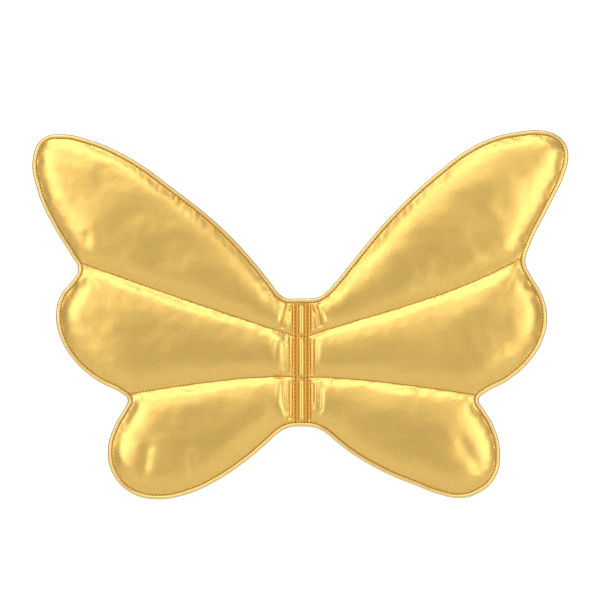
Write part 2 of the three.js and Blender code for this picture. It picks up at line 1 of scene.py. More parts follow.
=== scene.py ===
# %% [markdown]
# # Padded fairy wings in gold cloth
# These are wings to wear on the back: two quilted wings of metallic coated cloth that fold along a stitched
# rib, with two elastic arm straps behind. The model of the joints and of the hidden parts comes from a packed
# frame. This script dresses it: it makes the cloth, the stitching, the tape and the elastic, and rides the
# wadding and the spine's pieces on their bodies, while the wings' covers and stitching and the straps stay
# put.
#
# The frame has +X to the right of the decorated side, that side facing -Y, and +Z up. Lengths here are in
# millimetres unless a value says otherwise, and are made into metres where a mesh is built. The stage, the
# camera and the lights are in metres.

# %% Load the frame
import json
import math
import random

import bmesh
import bpy
import numpy as np
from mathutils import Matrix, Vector, noise
from mathutils.bvhtree import BVHTree
from mathutils.geometry import delaunay_2d_cdt
from mathutils.kdtree import KDTree

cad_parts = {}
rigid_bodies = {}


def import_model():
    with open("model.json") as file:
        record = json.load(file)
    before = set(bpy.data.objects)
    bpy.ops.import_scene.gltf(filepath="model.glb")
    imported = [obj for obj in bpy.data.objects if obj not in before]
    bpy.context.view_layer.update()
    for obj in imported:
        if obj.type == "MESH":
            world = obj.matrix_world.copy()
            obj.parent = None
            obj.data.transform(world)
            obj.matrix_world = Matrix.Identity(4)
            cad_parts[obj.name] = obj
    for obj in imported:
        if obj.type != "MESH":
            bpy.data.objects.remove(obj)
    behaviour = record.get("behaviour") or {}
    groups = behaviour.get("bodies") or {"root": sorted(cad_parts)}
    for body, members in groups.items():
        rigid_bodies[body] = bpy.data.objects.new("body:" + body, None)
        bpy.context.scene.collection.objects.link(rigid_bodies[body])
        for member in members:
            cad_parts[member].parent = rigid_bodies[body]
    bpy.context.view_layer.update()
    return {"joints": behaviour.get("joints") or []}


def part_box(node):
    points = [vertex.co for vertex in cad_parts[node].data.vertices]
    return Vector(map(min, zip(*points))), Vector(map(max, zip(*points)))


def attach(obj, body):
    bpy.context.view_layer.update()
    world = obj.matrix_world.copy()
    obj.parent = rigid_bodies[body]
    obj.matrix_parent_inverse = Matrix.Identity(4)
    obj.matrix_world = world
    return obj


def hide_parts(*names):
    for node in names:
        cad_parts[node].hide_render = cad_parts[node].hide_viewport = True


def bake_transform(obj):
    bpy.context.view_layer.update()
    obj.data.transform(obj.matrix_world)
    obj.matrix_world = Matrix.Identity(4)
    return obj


for leftover in list(bpy.data.objects):
    bpy.data.objects.remove(leftover)
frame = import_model()
MM = 0.001
JOINTS = {joint["name"]: joint for joint in frame["joints"]}
MID_Y = JOINTS["left_wing_fold"]["pos_m"][1] / MM  # the plane where front and back covers meet

# %% [markdown]
# ## Camera, backdrop and light
# The wings hang upright and are seen straight on, so the camera looks along +Y from far away, which keeps the
# outline free of perspective. Metallic cloth shows little of its own colour and much of what it reflects, so
# the light is a set of broad soft panels, with a dimmer room between them: the panels draw the bright soft
# bands on the padding, and the dimmer room gives the deeper gold where the cloth faces the camera.

# %% Camera
scene = bpy.context.scene
CAMERA_DISTANCE = 4.0
VIEW_WIDTH = 0.5604
VIEW_CENTRE = Vector((-0.0014, 0, 0.0584))
SENSOR = 36.0

camera_data = bpy.data.cameras.new("camera")
camera_data.sensor_width = SENSOR
camera_data.lens = SENSOR * CAMERA_DISTANCE / VIEW_WIDTH
camera = bpy.data.objects.new("camera", camera_data)
camera.location = VIEW_CENTRE + Vector((0, MID_Y * MM - CAMERA_DISTANCE, 0))
camera.rotation_euler = (math.pi / 2, 0, 0)
scene.collection.objects.link(camera)
scene.camera = camera
print("camera lens", round(camera_data.lens, 1), "mm")

# %% Floor and backdrop
FLOOR_Z = -0.66
STAGE_SIZE = 12.0
STAGE_GREY = (0.8, 0.8, 0.8)


def flat_shader(name, color, strength):
    material = bpy.data.materials.new(name)
    material.use_nodes = True
    tree = material.node_tree
    shader = tree.nodes["Principled BSDF"]
    shader.inputs["Base Color"].default_value = (*color, 1)
    shader.inputs["Roughness"].default_value = 0.9
    shader.inputs["Emission Color"].default_value = (1, 1, 1, 1)
    shader.inputs["Emission Strength"].default_value = strength
    return material


def piece_from(bm, name, smooth=True):
    """The bmesh as an object in the scene, at the origin."""
    mesh = bpy.data.meshes.new(name)
    bm.to_mesh(mesh)
    bm.free()
    if smooth:
        mesh.shade_smooth()
    piece = bpy.data.objects.new(name, mesh)
    scene.collection.objects.link(piece)
    return piece


def stage_plane(name, corners, glow):
    bm = bmesh.new()
    bm.faces.new([bm.verts.new(corner) for corner in corners])
    plane = piece_from(bm, name, smooth=False)
    plane.data.materials.append(flat_shader(name, STAGE_GREY, glow))


half = STAGE_SIZE / 2
BACKDROP_Y = 5.5
FLOOR_GLOW = 0.05
BACKDROP_GLOW = 0.85
stage_plane(
    "floor",
    [(-half, -half, FLOOR_Z), (half, -half, FLOOR_Z), (half, half, FLOOR_Z), (-half, half, FLOOR_Z)],
    FLOOR_GLOW,
)
stage_plane(
    "backdrop",
    [(x, BACKDROP_Y, z) for x, z in ((-half, FLOOR_Z), (half, FLOOR_Z), (half, half), (-half, half))],
    BACKDROP_GLOW,
)

# %% Light
ROOM_LIGHT = 0.38


def soft_panel(name, location, size, power, target=(0, 0, 0.04)):
    data = bpy.data.lights.new(name, "AREA")
    data.shape = "RECTANGLE"
    data.size = size[0]
    data.size_y = size[1]
    data.energy = power
    light = bpy.data.objects.new(name, data)
    light.location = location
    aim = Vector(target) - Vector(location)
    light.rotation_euler = aim.to_track_quat("-Z", "Y").to_euler()
    scene.collection.objects.link(light)
    return light


world = bpy.data.worlds.new("room")
world.use_nodes = True
world.node_tree.nodes["Background"].inputs["Color"].default_value = (1, 1, 1, 1)
world.node_tree.nodes["Background"].inputs["Strength"].default_value = ROOM_LIGHT
scene.world = world
soft_panel("left_panel", (-1.0, -1.4, 0.35), (0.85, 1.2), 7.0)
soft_panel("right_panel", (1.0, -1.4, 0.15), (0.85, 1.2), 6.4)
soft_panel("top_panel", (-0.1, -1.3, 1.5), (1.7, 0.7), 9.5)
soft_panel("front_panel", (-0.6, -3.2, 1.3), (1.3, 0.9), 5)
soft_panel("back_panel", (-0.8, 2.6, 1.4), (1.6, 1.2), 18)
scene.view_settings.view_transform = "Standard"

# %% [markdown]
# ## The outlines
# Each wing is cut by hand and sewn to a paper pattern, so its edge is one smooth curve with two notches, and
# the two wings aren't quite alike. A few points along the edge are enough, as shares of the half span and of
# the rise and drop, and a Bezier curve with automatic handles runs smoothly through them. They are the points
# that the solid parts were made from. The quilting seams bow as sewn ones do, so they lie up to about 7 mm
# from the straighter seams of the solid parts.

# %% Driving sizes
HALF_SPAN = 250
RISE = 217
DROP = 128
SPINE_HALF_HEIGHT = 60
LIP = 4.2  # width of the rolled edge outside the stitching
ROW_X = 5.7  # spine's middle to a vertical row of stitching
UPPER_SEAM_Z = 24.4
LOWER_SEAM_Z = -14.4

WINGS = {
    "left": {
        "side": -1,
        "leading": [
            (0.058, 0.002), (0.082, 0.028), (0.118, 0.1), (0.171, 0.207), (0.297, 0.421), (0.462, 0.635),
            (0.655, 0.849), (0.82, 0.957), (0.895, 0.977), (0.966, 0.955), (1.004, 0.84),
        ],
        "tip": [(0.986, 0.736), (0.925, 0.581), (0.857, 0.453)],
        "upper_notch": (0.834, 0.402),
        "middle": [
            (0.853, 0.359), (0.901, 0.289), (0.918, 0.207), (0.905, 0.116), (0.854, 0.013), (0.764, -0.134),
            (0.676, -0.224),
        ],
        "lower_notch": (0.649, -0.272),
        "lower": [(0.664, -0.339), (0.699, -0.459), (0.725, -0.656), (0.7, -0.836), (0.632, -0.959)],
        "trailing": [
            (0.54, 1), (0.43, 0.934), (0.318, 0.748), (0.206, 0.472), (0.131, 0.24), (0.078, 0.07),
            (0.05, 0.02),
        ],
        "seams": {"upper": (4.5, -1.0, 1.0), "lower": (3.3, 4.4, 0.7)},
    },
    "right": {
        "side": 1,
        "leading": [
            (0.058, 0.006), (0.082, 0.028), (0.128, 0.1), (0.182, 0.207), (0.333, 0.492), (0.528, 0.778),
            (0.62, 0.885), (0.714, 0.957), (0.812, 0.992), (0.893, 1), (0.957, 0.97), (0.99, 0.912),
            (0.998, 0.85),
        ],
        "tip": [(0.984, 0.813), (0.92, 0.659), (0.854, 0.504)],
        "upper_notch": (0.837, 0.43),
        "middle": [
            (0.858, 0.375), (0.899, 0.294), (0.918, 0.207), (0.908, 0.116), (0.859, 0.013), (0.771, -0.134),
            (0.686, -0.224),
        ],
        "lower_notch": (0.662, -0.27),
        "lower": [(0.679, -0.333), (0.718, -0.459), (0.743, -0.68), (0.722, -0.85), (0.663, -0.953)],
        "trailing": [
            (0.594, 0.985), (0.519, 0.938), (0.422, 0.805), (0.316, 0.643), (0.196, 0.395), (0.136, 0.23),
            (0.082, 0.07), (0.052, 0.02),
        ],
        "seams": {"upper": (3.5, -6.3, 1.6), "lower": (3.0, 3.3, 0.7)},
    },
}


# %% Knots of a wing's edge
def lerp(a, b, t):
    return a + (b - a) * t


def height(share):
    return share * (DROP if share < 0 else RISE)


def edge_knots(wing):
    """The edge's points in millimetres (x without its sign, z), from the top of the spine to its bottom."""
    plain = [*wing["tip"], wing["upper_notch"], *wing["middle"], wing["lower_notch"], *wing["lower"]]
    return [
        (0, SPINE_HALF_HEIGHT),
        (ROW_X, SPINE_HALF_HEIGHT),
        *((u * HALF_SPAN, lerp(SPINE_HALF_HEIGHT, RISE, v)) for u, v in wing["leading"]),
        *((u * HALF_SPAN, height(v)) for u, v in plain),
        *((u * HALF_SPAN, -lerp(SPINE_HALF_HEIGHT, DROP, v)) for u, v in wing["trailing"]),
        (ROW_X, -SPINE_HALF_HEIGHT),
        (0, -SPINE_HALF_HEIGHT),
    ]


# %% Smooth edge curve
CURVE_STEPS = 16


def smooth_through(knots):
    """Points along a Bezier curve with automatic handles through the knots, as an array of (x, z)."""
    data = bpy.data.curves.new("pattern", "CURVE")
    data.resolution_u = CURVE_STEPS
    spline = data.splines.new("BEZIER")
    spline.bezier_points.add(len(knots) - 1)
    for point, (x, z) in zip(spline.bezier_points, knots):
        point.co = (x, 0, z)
        point.handle_left_type = point.handle_right_type = "AUTO"
    holder = bpy.data.objects.new("pattern", data)
    scene.collection.objects.link(holder)
    line = np.array([v.co for v in holder.to_mesh().vertices])[:, [0, 2]]
    bpy.data.objects.remove(holder)
    bpy.data.curves.remove(data)
    return line


def lengths_along(line):
    return np.concatenate([[0], np.cumsum(np.linalg.norm(np.diff(line, axis=0), axis=1))])


def evenly(line, spacing, ends=None):
    """The line resampled at an even spacing, between two lengths along it if `ends` gives them."""
    along = lengths_along(line)
    low, high = ends or (0, along[-1])
    count = max(2, round((high - low) / spacing) + 1)
    at = np.linspace(low, high, count)
    return np.stack([np.interp(at, along, line[:, i]) for i in range(2)], axis=1)


EDGE_SPACING = 1.5
for name, wing in WINGS.items():
    wing["edge"] = evenly(smooth_through(edge_knots(wing)), EDGE_SPACING)
    print(name, "edge length", round(lengths_along(wing["edge"])[-1]), "mm in", len(wing["edge"]), "points")

# %% [markdown]
# ## A panel of cloth
# A quilted wing starts as flat panels, a front and a back, sewn together along the edge and along the two
# quilting seams. A triangulation that takes the lines of stitching as edges gives a mesh that can be held
# exactly where it is sewn, so each panel is triangulated by Blender's own Delaunay function, with scattered
# points between the seams and finer ones near the spine, where the cloth is gathered.

# %% Lines of stitching
def inward(line):
    """Unit vectors across the line, to the right of its direction, which is the wing's inner side."""
    ahead = np.gradient(line, axis=0)
    ahead /= np.linalg.norm(ahead, axis=1)[:, None]
    return np.stack([ahead[:, 1], -ahead[:, 0]], axis=1)


def edge_row(wing, inset=LIP, from_x=ROW_X):
    """The edge moved inwards, from the spine's row of stitching round to it again."""
    row = wing["edge"] + inward(wing["edge"]) * inset
    outer = np.where(row[:, 0] > from_x + 0.5)[0]
    row = row[outer[0] : outer[-1] + 1]
    start = (from_x, SPINE_HALF_HEIGHT - inset)
    end = (from_x, inset - SPINE_HALF_HEIGHT)
    return np.vstack([start, row, end])


def seam_row(wing, seam, spacing):
    """A quilting seam from the spine's row of stitching to the edge's row, a little above the notch.

    A wing's "seams" say how far above, how much the seam bows, and to which end the bow leans."""
    start_z = UPPER_SEAM_Z if seam == "upper" else LOWER_SEAM_Z
    notch_x, notch_z = wing[f"{seam}_notch"]
    rise_at_end, bow, lean = wing["seams"][seam]
    row = edge_row(wing)
    notch = np.array([notch_x * HALF_SPAN, height(notch_z) + rise_at_end])
    end = row[np.argmin(np.linalg.norm(row - notch, axis=1))]
    count = round(np.linalg.norm(end - (ROW_X, start_z)) / spacing)
    t = np.linspace(0, 1, count + 1)
    x = lerp(ROW_X, end[0], t)
    z = lerp(start_z, end[1], t) + 4 * bow * t**lean * (1 - t**lean)
    return np.stack([x, z], axis=1)


# %% Triangulating a panel
RIDGE_X = 11  # a narrow ridge beside the channel lies inside this
COLUMN_SPACING = 0.55
GATHER_X = 27  # the cloth is gathered between the spine and here
FINE = 1.2
COARSE = 3.0


def inside(points, loop):
    """Which points are inside the closed loop, by counting the sides to the left of each."""
    x, z = points[:, 0, None], points[:, 1, None]
    x0, z0 = loop[:, 0], loop[:, 1]
    x1, z1 = np.roll(x0, -1), np.roll(z0, -1)
    spans = (z0 > z) != (z1 > z)
    cross = x0 + (z - z0) * (x1 - x0) / np.where(z1 == z0, 1e-9, z1 - z0)
    return (np.sum(spans & (x < cross), axis=1) % 2) == 1


def scattered(loop, spacing, low_x, high_x):
    """Points of a triangular grid between two distances from the spine, a little out of line."""
    rows = np.arange(loop[:, 1].min(), loop[:, 1].max(), spacing * 0.87)
    points = []
    for i, z in enumerate(rows):
        for x in np.arange(low_x + spacing * (0.5 + 0.5 * (i % 2)), high_x, spacing):
            points.append((x + random.uniform(-0.1, 0.1) * spacing, z + random.uniform(-0.1, 0.1) * spacing))
    points = np.array(points)
    return points[inside(points, loop)]


def thinned(row, spacing):
    """The row's points, kept fine near the spine and spaced out beyond the gathers."""
    kept = [row[0]]
    for point in row[1:-1]:
        step = FINE if point[0] < GATHER_X else spacing
        if np.linalg.norm(point - kept[-1]) > step * 0.8:
            kept.append(point)
    if np.linalg.norm(kept[-1] - row[-1]) < FINE * 0.6:
        kept.pop()
    return np.array([*kept, row[-1]])


def spine_heights():
    """Heights of the points along a vertical row of stitching, from the top down, the seams' among them."""
    heights = np.arange(SPINE_HALF_HEIGHT - LIP, LIP - SPINE_HALF_HEIGHT, -FINE)
    heights = np.append(heights, LIP - SPINE_HALF_HEIGHT)
    for seam_z in (UPPER_SEAM_Z, LOWER_SEAM_Z):
        heights[np.argmin(np.abs(heights - seam_z))] = seam_z
    return heights


def panel_rows(wing, spacing):
    """The closed loop round the panel, and its two seams, as lists of points that share their ends."""
    edge = thinned(edge_row(wing), spacing)
    seams = []
    for seam in ("upper", "lower"):
        row = thinned(seam_row(wing, seam, FINE), spacing)
        row[-1] = edge[np.argmin(np.linalg.norm(edge - row[-1], axis=1))]
        seams.append(row)
    spine = np.array([(ROW_X, z) for z in spine_heights()[::-1]])[1:-1]
    return edge, spine, seams


def columns(loop):
    """Points in straight columns beside the spine, where the folds run straight up and down."""
    heights = np.arange(-SPINE_HALF_HEIGHT, SPINE_HALF_HEIGHT + 2, FINE)
    points = []
    for i, x in enumerate(np.arange(ROW_X + COLUMN_SPACING, RIDGE_X, COLUMN_SPACING)):
        points += [(x, z + FINE / 2 * (i % 2)) for z in heights]
    points = np.array(points)
    return points[inside(points, loop)]


def triangulate(wing, spacing):
    """Flat points and triangles of one panel, with the indices of its edge row and of all sewn points."""
    edge, spine, seams = panel_rows(wing, spacing)
    loop = np.vstack([edge, spine])
    sewn = np.vstack([loop, *seams])
    gathered = scattered(loop, FINE, RIDGE_X, GATHER_X)
    smooth = scattered(loop, spacing, GATHER_X, HALF_SPAN + 5)
    fill = np.vstack([columns(loop), gathered, smooth])
    tree = KDTree(len(sewn))
    for i, (x, z) in enumerate(sewn):
        tree.insert((x, z, 0), i)
    tree.balance()
    room = [0.4 if x < RIDGE_X else 0.7 if x < GATHER_X else spacing * 0.6 for x, z in fill]
    far = [tree.find((x, z, 0))[2] > free for (x, z), free in zip(fill, room)]
    points = np.vstack([sewn, fill[far]])
    lines = []
    start = len(loop)
    for row in seams:
        lines += [(start + i, start + i + 1) for i in range(len(row) - 1)]
        start += len(row)
    result = delaunay_2d_cdt([Vector(p) for p in points], lines, [list(range(len(loop)))], 1, 1e-4)
    flat = np.array([(v.x, v.y) for v in result[0]])
    renamed = {old: new for new, olds in enumerate(result[3]) for old in olds}
    edge_index = [renamed[i] for i in range(len(edge))]
    sewn_index = sorted({renamed[i] for i in range(len(sewn))})
    return flat, [list(face) for face in result[2]], edge_index, sewn_index


random.seed(7)
PANELS = {name: triangulate(wing, COARSE) for name, wing in WINGS.items()}
for name, (flat, faces, _, _) in PANELS.items():
    print(name, "panel:", len(flat), "points", len(faces), "triangles")

# %% [markdown]
# ## Padding the panels
# Wadding between the covers pushes the cloth out until the stitching stops it. Blender's Cloth modifier does
# just that: the sewn points are pinned, a pressure pushes the rest out, and the cloth is cut slightly too
# large, so the spare cloth gathers into soft wrinkles along the seams, as it does on the real wings. Gravity
# is off. The heights that come out are scaled to the loft that the wadding gives, and flattened on top.

# %% Cloth simulation
SEWN_DEPTH = 0.9  # the covers' distance from the meeting plane where they are sewn
FRAMES = 22


def panel_object(name, flat, faces, side, out):
    """A flat panel as an object, its normals facing out: to the front for out = -1, to the back for 1."""
    bm = bmesh.new()
    verts = [bm.verts.new((x * side * MM, (MID_Y + out * SEWN_DEPTH) * MM, z * MM)) for x, z in flat]
    for face in faces:
        bm.faces.new([verts[i] for i in face])
    bmesh.ops.recalc_face_normals(bm, faces=bm.faces)
    if bm.faces[:][0].normal.y * out < 0:
        bmesh.ops.reverse_faces(bm, faces=bm.faces)
    return piece_from(bm, name, smooth=False)


def inflated(panel, sewn, pressure, spare):
    """The panel's points in millimetres after pressure has filled it out between its sewn points."""
    group = panel.vertex_groups.new(name="sewn")
    group.add(sewn, 1.0, "REPLACE")
    cloth = panel.modifiers.new("padding", "CLOTH")
    cloth.settings.vertex_group_mass = "sewn"
    cloth.settings.quality = 6
    cloth.settings.mass = 0.15
    cloth.settings.tension_stiffness = 12
    cloth.settings.compression_stiffness = 12
    cloth.settings.shear_stiffness = 5
    cloth.settings.bending_stiffness = 8
    cloth.settings.air_damping = 4
    cloth.settings.use_pressure = True
    cloth.settings.uniform_pressure_force = pressure
    cloth.settings.shrink_min = -spare
    cloth.settings.effector_weights.gravity = 0
    cloth.collision_settings.use_collision = False
    cloth.point_cache.frame_start = 1
    cloth.point_cache.frame_end = FRAMES
    for step in range(1, FRAMES + 1):
        scene.frame_set(step)
    evaluated = panel.evaluated_get(bpy.context.evaluated_depsgraph_get())
    points = np.array([v.co for v in evaluated.data.vertices]) / MM
    panel.modifiers.remove(cloth)
    scene.frame_set(1)
    return points


# %% Simulated loft of each panel
PRESSURE = {"front": 400, "back": 220}
SPARE_CLOTH = 0.006
LOFT = {"front": 8.6, "back": 5.8}  # the padding's greatest height above the stitching
FLATNESS = 2.2  # wadding has an even thickness, so a padded top is flatter than a balloon's
BACK_SPACING = 4.0
OUT = {"front": -1, "back": 1}


def smoothed(values, faces, count, keep):
    """Heights averaged with their neighbours' some times over, but not where `keep` is 1."""
    total = np.zeros_like(values)
    pairs = np.array([(a, b) for face in faces for a, b in zip(face, face[1:] + face[:1])])
    share = np.bincount(pairs.ravel(), minlength=len(values)).astype(float)
    for _ in range(count):
        total[:] = 0
        np.add.at(total, pairs[:, 0], values[pairs[:, 1]])
        np.add.at(total, pairs[:, 1], values[pairs[:, 0]])
        values = values * keep + total / share * (1 - keep)
    return values


def panel_heights(name, face_side, panel):
    """Each point's distance from the meeting plane, in millimetres."""
    flat, faces, _, sewn = panel
    cloth = panel_object("cloth", flat, faces, WINGS[name]["side"], OUT[face_side])
    points = inflated(cloth, sewn, PRESSURE[face_side], SPARE_CLOTH)
    heights = (points[:, 1] - MID_Y) * OUT[face_side]
    bpy.data.objects.remove(cloth)
    share = (heights - SEWN_DEPTH) / (heights.max() - SEWN_DEPTH)
    flattened = (1 - np.exp(-FLATNESS * share)) / (1 - math.exp(-FLATNESS))
    return SEWN_DEPTH + flattened * LOFT[face_side]


HEIGHTS = {}
for name, wing in WINGS.items():
    for face_side in OUT:
        panel = PANELS[name] if face_side == "front" else triangulate(wing, BACK_SPACING)
        HEIGHTS[name, face_side] = (panel, panel_heights(name, face_side, panel))
        values = HEIGHTS[name, face_side][1]
        print(name, face_side, "points", len(values), "mean height", round(values.mean(), 2), "mm")

# %% [markdown]
# ## Folds by the spine and puckers along the seams
# The simulation gives the fullness, but where the cloth is sewn to the rib it's folded by hand before it's
# sewn. Those folds are drawn as short lines with a width and a height, a valley where the height is negative.
# The stitching also draws the cloth into small puckers square to each seam, which fade within a few
# millimetres. Beside the rib, the cloth lies flat in a narrow channel with rounded ends.

# %% Folds
FOLDS = {
    "left": [
        ([(12.5, 54), (15, 44), (17.8, 33)], 1.5, -2.0),
        ([(10.2, 54), (10.2, 30)], 1.1, 0.7),
        ([(11.6, 52), (11.2, 28)], 0.9, -0.7),
        ([(15.5, 55), (20.5, 36)], 1.8, 0.8),
        ([(10.3, 22), (10.3, -12)], 0.9, -1.1),
        ([(12.6, 21), (12.8, -11)], 1.1, 0.5),
        ([(15.2, 18), (15.4, -6)], 1.2, -0.7),
        ([(21.5, 20), (22.5, -11)], 4.5, 0.9),
        ([(10.3, -17), (10.3, -52)], 0.9, -1.1),
        ([(12.8, -17), (12.6, -50)], 1.1, 0.5),
        ([(17, -18), (16, -35), (12, -52)], 1.2, -0.8),
        ([(21, -17), (21.5, -36), (16, -54)], 3.0, 0.7),
        ([(150, -117), (143, -80)], 5.0, -1.0),
        ([(99.5, -114), (102.7, -85)], 5.0, -0.9),
        ([(203, 92), (192, 72)], 2.6, -0.5),
        ([(205, 90), (203, 74)], 2.4, -0.4),
        ([(203, 100), (200, 118)], 4.0, -0.6),
    ],
    "right": [
        ([(12.7, 52), (15.5, 44), (17.8, 35)], 1.7, -2.2),
        ([(10.2, 54), (10.2, 30)], 1.1, 0.7),
        ([(16.5, 54), (21, 38)], 2.2, 0.9),
        ([(10.5, 21), (10.7, -11)], 1.1, -1.0),
        ([(13.0, 20), (13.4, -11)], 1.2, 0.4),
        ([(18, 22), (18, -12)], 4.5, 0.5),
        ([(10.5, -20), (10.5, -36)], 1.0, -1.0),
        ([(12.9, -17), (12.6, -50)], 1.2, 0.5),
        ([(19.5, -20), (18.8, -43), (12.7, -56)], 1.3, -0.8),
        ([(165, -100), (150, -75)], 6.0, -0.7),
        ([(203, 92), (190, 70)], 2.6, -0.4),
    ],
}


def smoothstep(low, high, value):
    t = np.clip((value - low) / (high - low), 0, 1)
    return t * t * (3 - 2 * t)


def distance_to(points, path):
    """Each point's distance from a path of straight pieces."""
    nearest = np.full(len(points), np.inf)
    for start, end in zip(np.array(path[:-1], float), np.array(path[1:], float)):
        run = end - start
        t = np.clip((points - start) @ run / (run @ run), 0, 1)
        nearest = np.minimum(nearest, np.linalg.norm(points - start - t[:, None] * run, axis=1))
    return nearest


def folded(points, folds):
    """The height that all of a wing's folds add at each point."""
    added = np.zeros(len(points))
    for path, width, fold_height in folds:
        added += fold_height * np.exp(-((distance_to(points, path) / width) ** 2))
    return added


# %% Puckers and channel
PUCKER_HEIGHT = 0.5
PUCKER_LENGTH = 4.6
PUCKER_REACH = 5.5
BROAD_RISE = 1.0
SMALL_RISE = 0.22
CHANNEL_WIDTH = 4.9
CHANNEL_END = 1.3
CHANNEL_WALL = 1.2
RIDGE_HEIGHT = 1.3
RIDGE_WIDTH = 0.9
RIDGE = ([(8.9, 53), (8.9, 26.5)], [(8.9, 22), (8.9, -12)], [(8.9, -16.5), (8.9, -53)])
CHANNEL_ENDS = (
    (SPINE_HALF_HEIGHT - LIP, UPPER_SEAM_Z),
    (UPPER_SEAM_Z, LOWER_SEAM_Z),
    (LOWER_SEAM_Z, LIP - SPINE_HALF_HEIGHT),
)


def sewn_near(wing, flat):
    """Each point's distance from the nearest stitching, and where along the stitching that is."""
    rows = [edge_row(wing), seam_row(wing, "upper", FINE), seam_row(wing, "lower", FINE)]
    samples = np.vstack(rows)
    along = np.concatenate([lengths_along(row) + 2000 * i for i, row in enumerate(rows)])
    tree = KDTree(len(samples))
    for i, (x, z) in enumerate(samples):
        tree.insert((x, z, 0), i)
    tree.balance()
    found = [tree.find((x, z, 0)) for x, z in flat]
    return np.array([hit[2] for hit in found]), along[[hit[1] for hit in found]]


def puckered(flat, away, along, seed):
    """Small folds square to the stitching, fading away from it and stronger near the spine."""
    wave = np.array([noise.noise((s / PUCKER_LENGTH, d / 14, seed)) for s, d in zip(along, away)])
    gathered = 0.55 + 0.9 * np.exp(-(((flat[:, 0] - ROW_X) / 30) ** 2))
    return PUCKER_HEIGHT * gathered * wave * np.exp(-away / PUCKER_REACH) * smoothstep(0, 1.6, away)


def uneven(flat, seed):
    """Slow rises and hollows, as loose wadding lies unevenly: broad ones and smaller ones."""
    broad = [noise.noise((x / 38, z / 30, seed)) for x, z in flat]
    small = [noise.noise((x / 13, z / 11, seed + 9)) for x, z in flat]
    return BROAD_RISE * np.array(broad) + SMALL_RISE * np.array(small)


def channel_wall(x, z):
    """0 on the channel's floor and 1 beyond its wall, for points at a distance x from the spine's middle."""
    half_width = CHANNEL_WIDTH / 2
    beyond = np.full(np.shape(x), np.inf)
    for top, bottom in CHANNEL_ENDS:
        low, high = bottom + CHANNEL_END + half_width, top - CHANNEL_END - half_width
        away = np.hypot(x - ROW_X + 0.1, z - np.clip(z, low, high)) - half_width
        beyond = np.minimum(beyond, away)
    return smoothstep(0, CHANNEL_WALL, beyond)


def shaped(name, face_side):
    """The final heights of one panel, with smoothing, folds, puckers and the channel."""
    wing = WINGS[name]
    (flat, faces, _, sewn), heights = HEIGHTS[name, face_side]
    away, along = sewn_near(wing, flat)
    keep = np.clip(0.75 * np.exp(-away / 8), 0, 1)
    keep[sewn] = 1
    heights = smoothed(heights, faces, 5, keep)
    seed = len(name) + (0 if face_side == "front" else 50)
    heights += puckered(flat, away, along, seed) + uneven(flat, seed) * smoothstep(0, 12, away)
    if face_side == "front":
        heights += folded(flat, FOLDS[name]) * smoothstep(0, 2.5, away)
        for path in RIDGE:
            heights += RIDGE_HEIGHT * np.exp(-((distance_to(flat, path) / RIDGE_WIDTH) ** 2))
    wall = channel_wall(flat[:, 0], flat[:, 1])
    heights = SEWN_DEPTH + np.maximum(heights - SEWN_DEPTH, 0.05 + 0.5 * smoothstep(0, 2, away)) * wall
    heights[sewn] = SEWN_DEPTH
    return heights


SHAPED = {key: shaped(*key) for key in HEIGHTS}
print("greatest heights:", {key: round(values.max(), 1) for key, values in SHAPED.items()})

# %% [markdown]
# ## Covers with a rolled edge
# Outside the edge stitching the two covers are rolled round a sprung wire. Each cover's mesh is the padded
# panel plus a roll: the panel's edge is extruded outwards ring by ring, and the rings follow a half round
# section, to the line where front and back meet. A level of subdivision then rounds the cloth.

# %% Rolled edge's section
ROLL = [(0.5, 1.3), (1.1, 1.95), (2.1, 2.35), (3.2, 1.95), (3.9, 1.1), (4.2, 0.15)]  # (outwards, height)
LEVELS = 1
# painted shade: cloth this little above its stitching gets the valleys' painted shade
VALLEY_DEPTH = 1.3  # cloth this little above its stitching is shaded as part of the valley


def edge_mates(wing, points):
    """For points on the edge row, the points on the cloth's outer edge that they were moved in from."""
    row = wing["edge"] + inward(wing["edge"]) * LIP
    ends = ((ROW_X, SPINE_HALF_HEIGHT), (ROW_X, -SPINE_HALF_HEIGHT))
    mates = [ends[0]]
    for point in points[1:-1]:
        mates.append(wing["edge"][np.argmin(np.linalg.norm(row - point, axis=1))])
    return np.array([*mates, ends[1]])


def finished(bm, name, face_side):
    """The mesh as an object, normals outwards, smooth, with one applied level of subdivision."""
    bmesh.ops.recalc_face_normals(bm, faces=bm.faces)
    if sum(face.normal.y * face.calc_area() for face in bm.faces) * OUT[face_side] < 0:
        bmesh.ops.reverse_faces(bm, faces=bm.faces)
    rough = piece_from(bm, name, smooth=False)
    rounding = rough.modifiers.new("rounding", "SUBSURF")
    rounding.levels = rounding.render_levels = LEVELS
    rounding.boundary_smooth = "PRESERVE_CORNERS"
    depsgraph = bpy.context.evaluated_depsgraph_get()
    smooth_mesh = bpy.data.meshes.new_from_object(rough.evaluated_get(depsgraph), depsgraph=depsgraph)
    bpy.data.objects.remove(rough)
    smooth_mesh.shade_smooth()
    piece = bpy.data.objects.new(name, smooth_mesh)
    scene.collection.objects.link(piece)
    return piece


